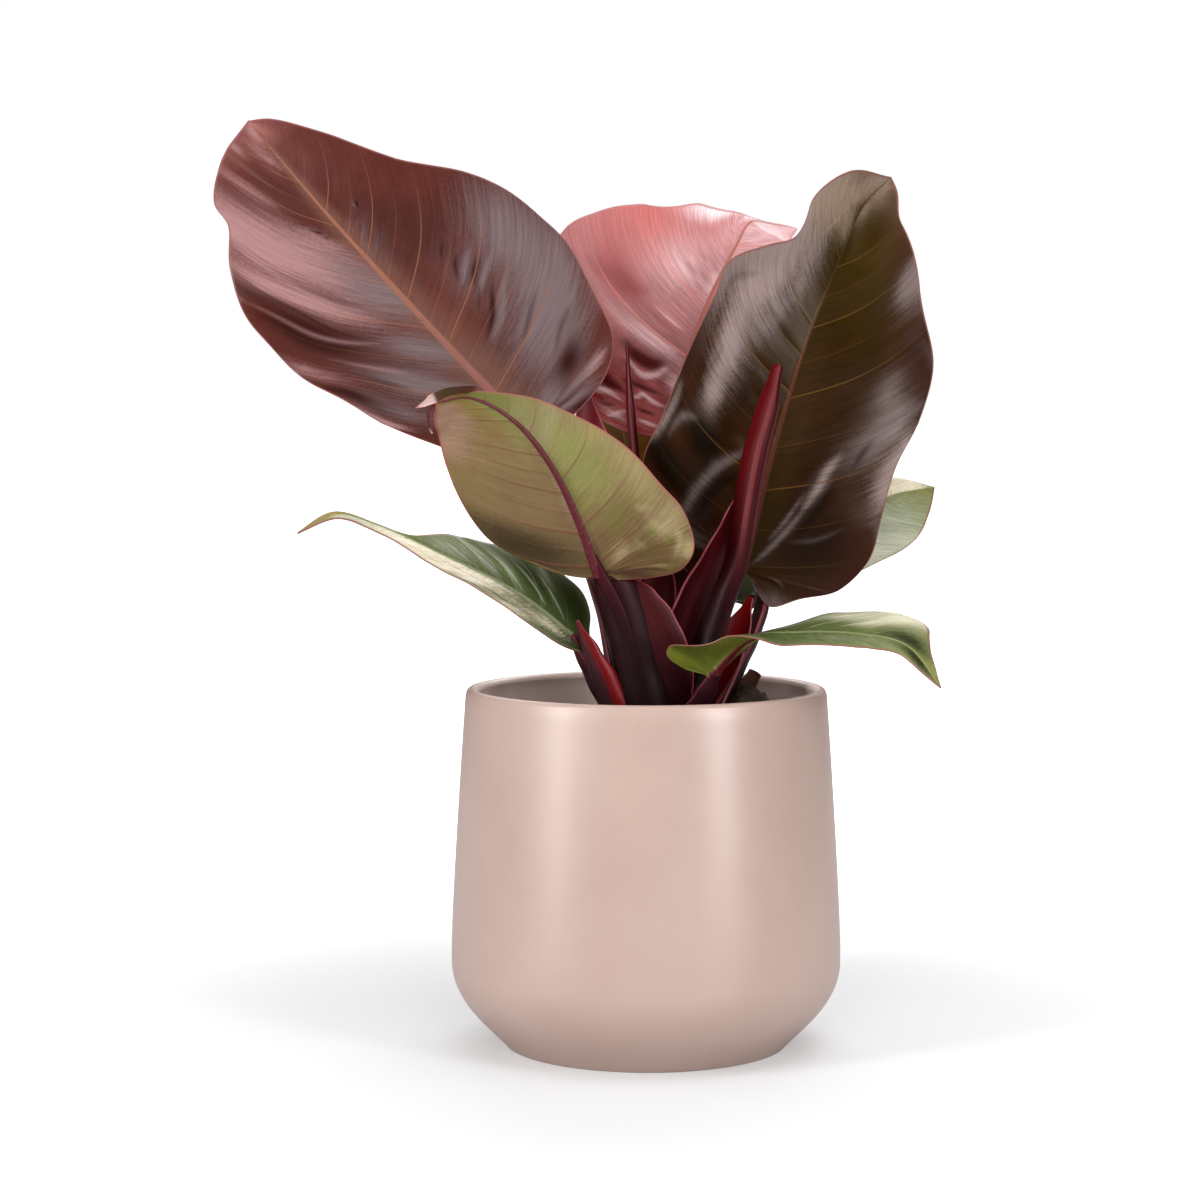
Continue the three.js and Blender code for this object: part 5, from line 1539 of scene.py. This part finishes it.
def stalkMaterial(name, look):
    material, tree, shader = newMaterial(name)
    along, across, inner = reading(tree, "along"), reading(tree, "across"), reading(tree, "inner")
    scales = stalkSkin["streakScale"]
    drawn = [times(tree, value, scale) for value, scale in zip((along, across, inner), scales)]
    streaks = grain(tree, joinAxes(tree, *drawn), 1.0, 4, 0.6)
    cloudy = grain(tree, objectPlace(tree), stalkSkin["cloudScale"], 3)
    outer = ramp(tree, along, look["outer"])
    if "wing" in look:
        *limits, tone = look["wing"]
        outer = laidOver(tree, outer, band(tree, across, *limits), tone)
    colour = laidOver(tree, outer, inner, ramp(tree, along, look.get("inner", look["outer"])))
    # the gleam: a painted highlight stripe along the stalk
    if "gleam" in look:
        middle, reach, share, start, tone = look["gleam"]
        away = maths(tree, "ABSOLUTE", minus(tree, across, middle))
        share = times(tree, band(tree, away, reach * stalkSkin["gleamCore"], reach, share, 0.0),
                      band(tree, along, start, start + stalkSkin["gleamFade"]))
        colour = laidOver(tree, colour, share, tone)
    colour = shaded(tree, colour, band(tree, streaks, 0.3, 0.7), stalkSkin["depth"])
    colour = shaded(tree, colour, cloudy, stalkSkin["depth"])
    rim = look.get("rim", stalkSkin["rim"])
    edge = band(tree, maths(tree, "ABSOLUTE", across), rim, stalkSkin["rimFull"])
    colour = laidOver(tree, colour, times(tree, edge, stalkSkin["rimShare"]), look["edge"])
    roughness = look["roughness"]
    fill(tree, shader, {
        "Base Color": colour,
        "Roughness": band(tree, cloudy, 0.3, 0.7, roughness - 0.04, roughness + 0.08),
        "Specular IOR Level": look.get("shine", stalkSkin["shine"]),
        "Specular Tint": stalkSkin["shineTint"],
    })
    addBump(tree, shader, streaks, *stalkSkin["bump"])
    return material


stalkMaterials = {name: stalkMaterial(name + "Skin", look) for name, look in stalkLooks.items()}
for stemName, stem in stems.items():
    makeStem(stemName, stem, stalkMaterials[stem["look"]])
print("stalks made")


# Soil: a rough disc that fills the pot, heaped beside the stalks, with crumbs on it
soil = {
    "top": 131,
    "clear": 0.4,  # from the pot's wall
    "moundHeight": 16,
    "moundPlace": (42, 4),
    "moundRadius": 13,
    "roughness": 0.35,
    "flatEdge": 2,
    "rings": 46,
    "sides": 150,
    "skirt": (120, 60, 30, 19),  # heights of the rings below the top
    "crumbs": 420,
    "crumbSize": (0.8, 2.6),
    "crumbStretch": (0.5, 1.6),
    "crumbSpread": 0.96,
    "seed": 29,
    "tones": [(0.3, (20, 10, 6)), (0.55, (44, 27, 18)), (0.8, (82, 58, 44))],
    "grainScale": 240,
    "matte": 0.95,
    "bump": (1.0, 1.2),
}
# Crown: the short stout stem that the stalks grow from, mostly hidden in the soil
crown = {
    "place": (4, -1),
    "radius": 15,
    "base": 96,
    "height": 41,
    "sides": 48,
    "shape": [(0.01, 0), (0.85, 0), (0.97, 0.07), (1, 0.15), (1, 0.75), (0.9, 0.9), (0.6, 1), (0.01, 1)],
}
cubeCorners = np.array([(i & 1, (i >> 1) & 1, (i >> 2) & 1) for i in range(8)]) - 0.5
cubeFaces = ((0, 2, 3, 1), (4, 5, 7, 6), (0, 1, 5, 4), (2, 6, 7, 3), (0, 4, 6, 2), (1, 3, 7, 5))


# Height of the soil, with its heap and two waves of lumps
def soilHeight(x, y):
    away = np.hypot(x - soil["moundPlace"][0], y - soil["moundPlace"][1]) / soil["moundRadius"]
    lumps = 0.7 * np.sin(x / 5) * np.cos(y / 5) + 0.5 * np.sin(x / 2.1 + y / 3.3) * np.sin(y / 1.9)
    return soil["top"] + soil["moundHeight"] * np.exp(-away * away) + lumps


def soilMaterial():
    material, tree, shader = newMaterial("darkPottingSoil")
    coarse = grain(tree, objectPlace(tree), soil["grainScale"], 5, 0.7)
    fill(tree, shader, {"Base Color": ramp(tree, coarse, soil["tones"]), "Roughness": soil["matte"]})
    addBump(tree, shader, coarse, *soil["bump"])
    return material


# A rough chip of soil, or nothing where the crown stands
def makeCrumb(generator, edge):
    reach = edge * soil["crumbSpread"] * math.sqrt(generator.uniform())
    turn = generator.uniform(0, 2 * math.pi)
    x, y = reach * math.cos(turn), reach * math.sin(turn)
    if math.hypot(x - crown["place"][0], y - crown["place"][1]) < crown["radius"] + 2:
        return None
    size = generator.uniform(*soil["crumbSize"])
    dents = generator.normal(size=(8, 3)) * 0.1
    spin = np.linalg.qr(generator.normal(size=(3, 3)))[0]
    if np.linalg.det(spin) < 0:
        spin[:, 0] *= -1
    chip = (cubeCorners * generator.uniform(*soil["crumbStretch"], 3) + dents) @ spin.T * size
    return (x, y, soilHeight(x, y) + 0.2) + chip


def makeSoil():
    sides, clear = soil["sides"], soil["clear"]
    generator = np.random.default_rng(soil["seed"])
    turns = 2 * np.pi * np.arange(sides) / sides
    edge = potRadius(soil["top"]) - pot["wall"] - clear
    r, turn = np.meshgrid(np.linspace(nearAxis, edge, soil["rings"]), turns, indexing="ij")
    x, y = r * np.cos(turn), r * np.sin(turn)
    z = soilHeight(x, y) + generator.normal(size=x.shape) * soil["roughness"]
    z = np.where(r > edge - soil["flatEdge"], np.minimum(z, soil["top"] + 1), z)
    points = [np.stack([x, y, z], -1).reshape(-1, 3)]
    points += [turnedRing(potRadius(z) - pot["wall"] - clear, z, sides) for z in soil["skirt"]]
    bottom = potRadius(soil["skirt"][-1]) - pot["wall"] - clear - pot["shoulderRound"]
    points.append(turnedRing(bottom, pot["floorThickness"] + clear, sides))
    points.append(points[-1] * (1e-4, 1e-4, 1))
    base = sum(len(part) for part in points)
    faces = ringFaces(base, sides).tolist()
    for _ in range(soil["crumbs"]):
        crumb = makeCrumb(generator, edge)
        if crumb is None:
            continue
        points.append(crumb)
        faces += [[base + k for k in quad] for quad in cubeFaces]
        base += len(crumb)
    points = np.vstack(points)
    makePiece("pottingSoil", points, faces, soilMaterial(), ["soil"], weld=coarseWeld)


def makeCrown():
    profile = [(r * crown["radius"], crown["base"] + crown["height"] * z) for r, z in crown["shape"]]
    points, faces = lathe(profile, crown["sides"])
    points = points + (*crown["place"], 0)
    makePiece("crownStem", points, faces, stalkMaterials["dry"], ["crown"], weld=coarseWeld)


makeSoil()
makeCrown()
print("soil and crown made")
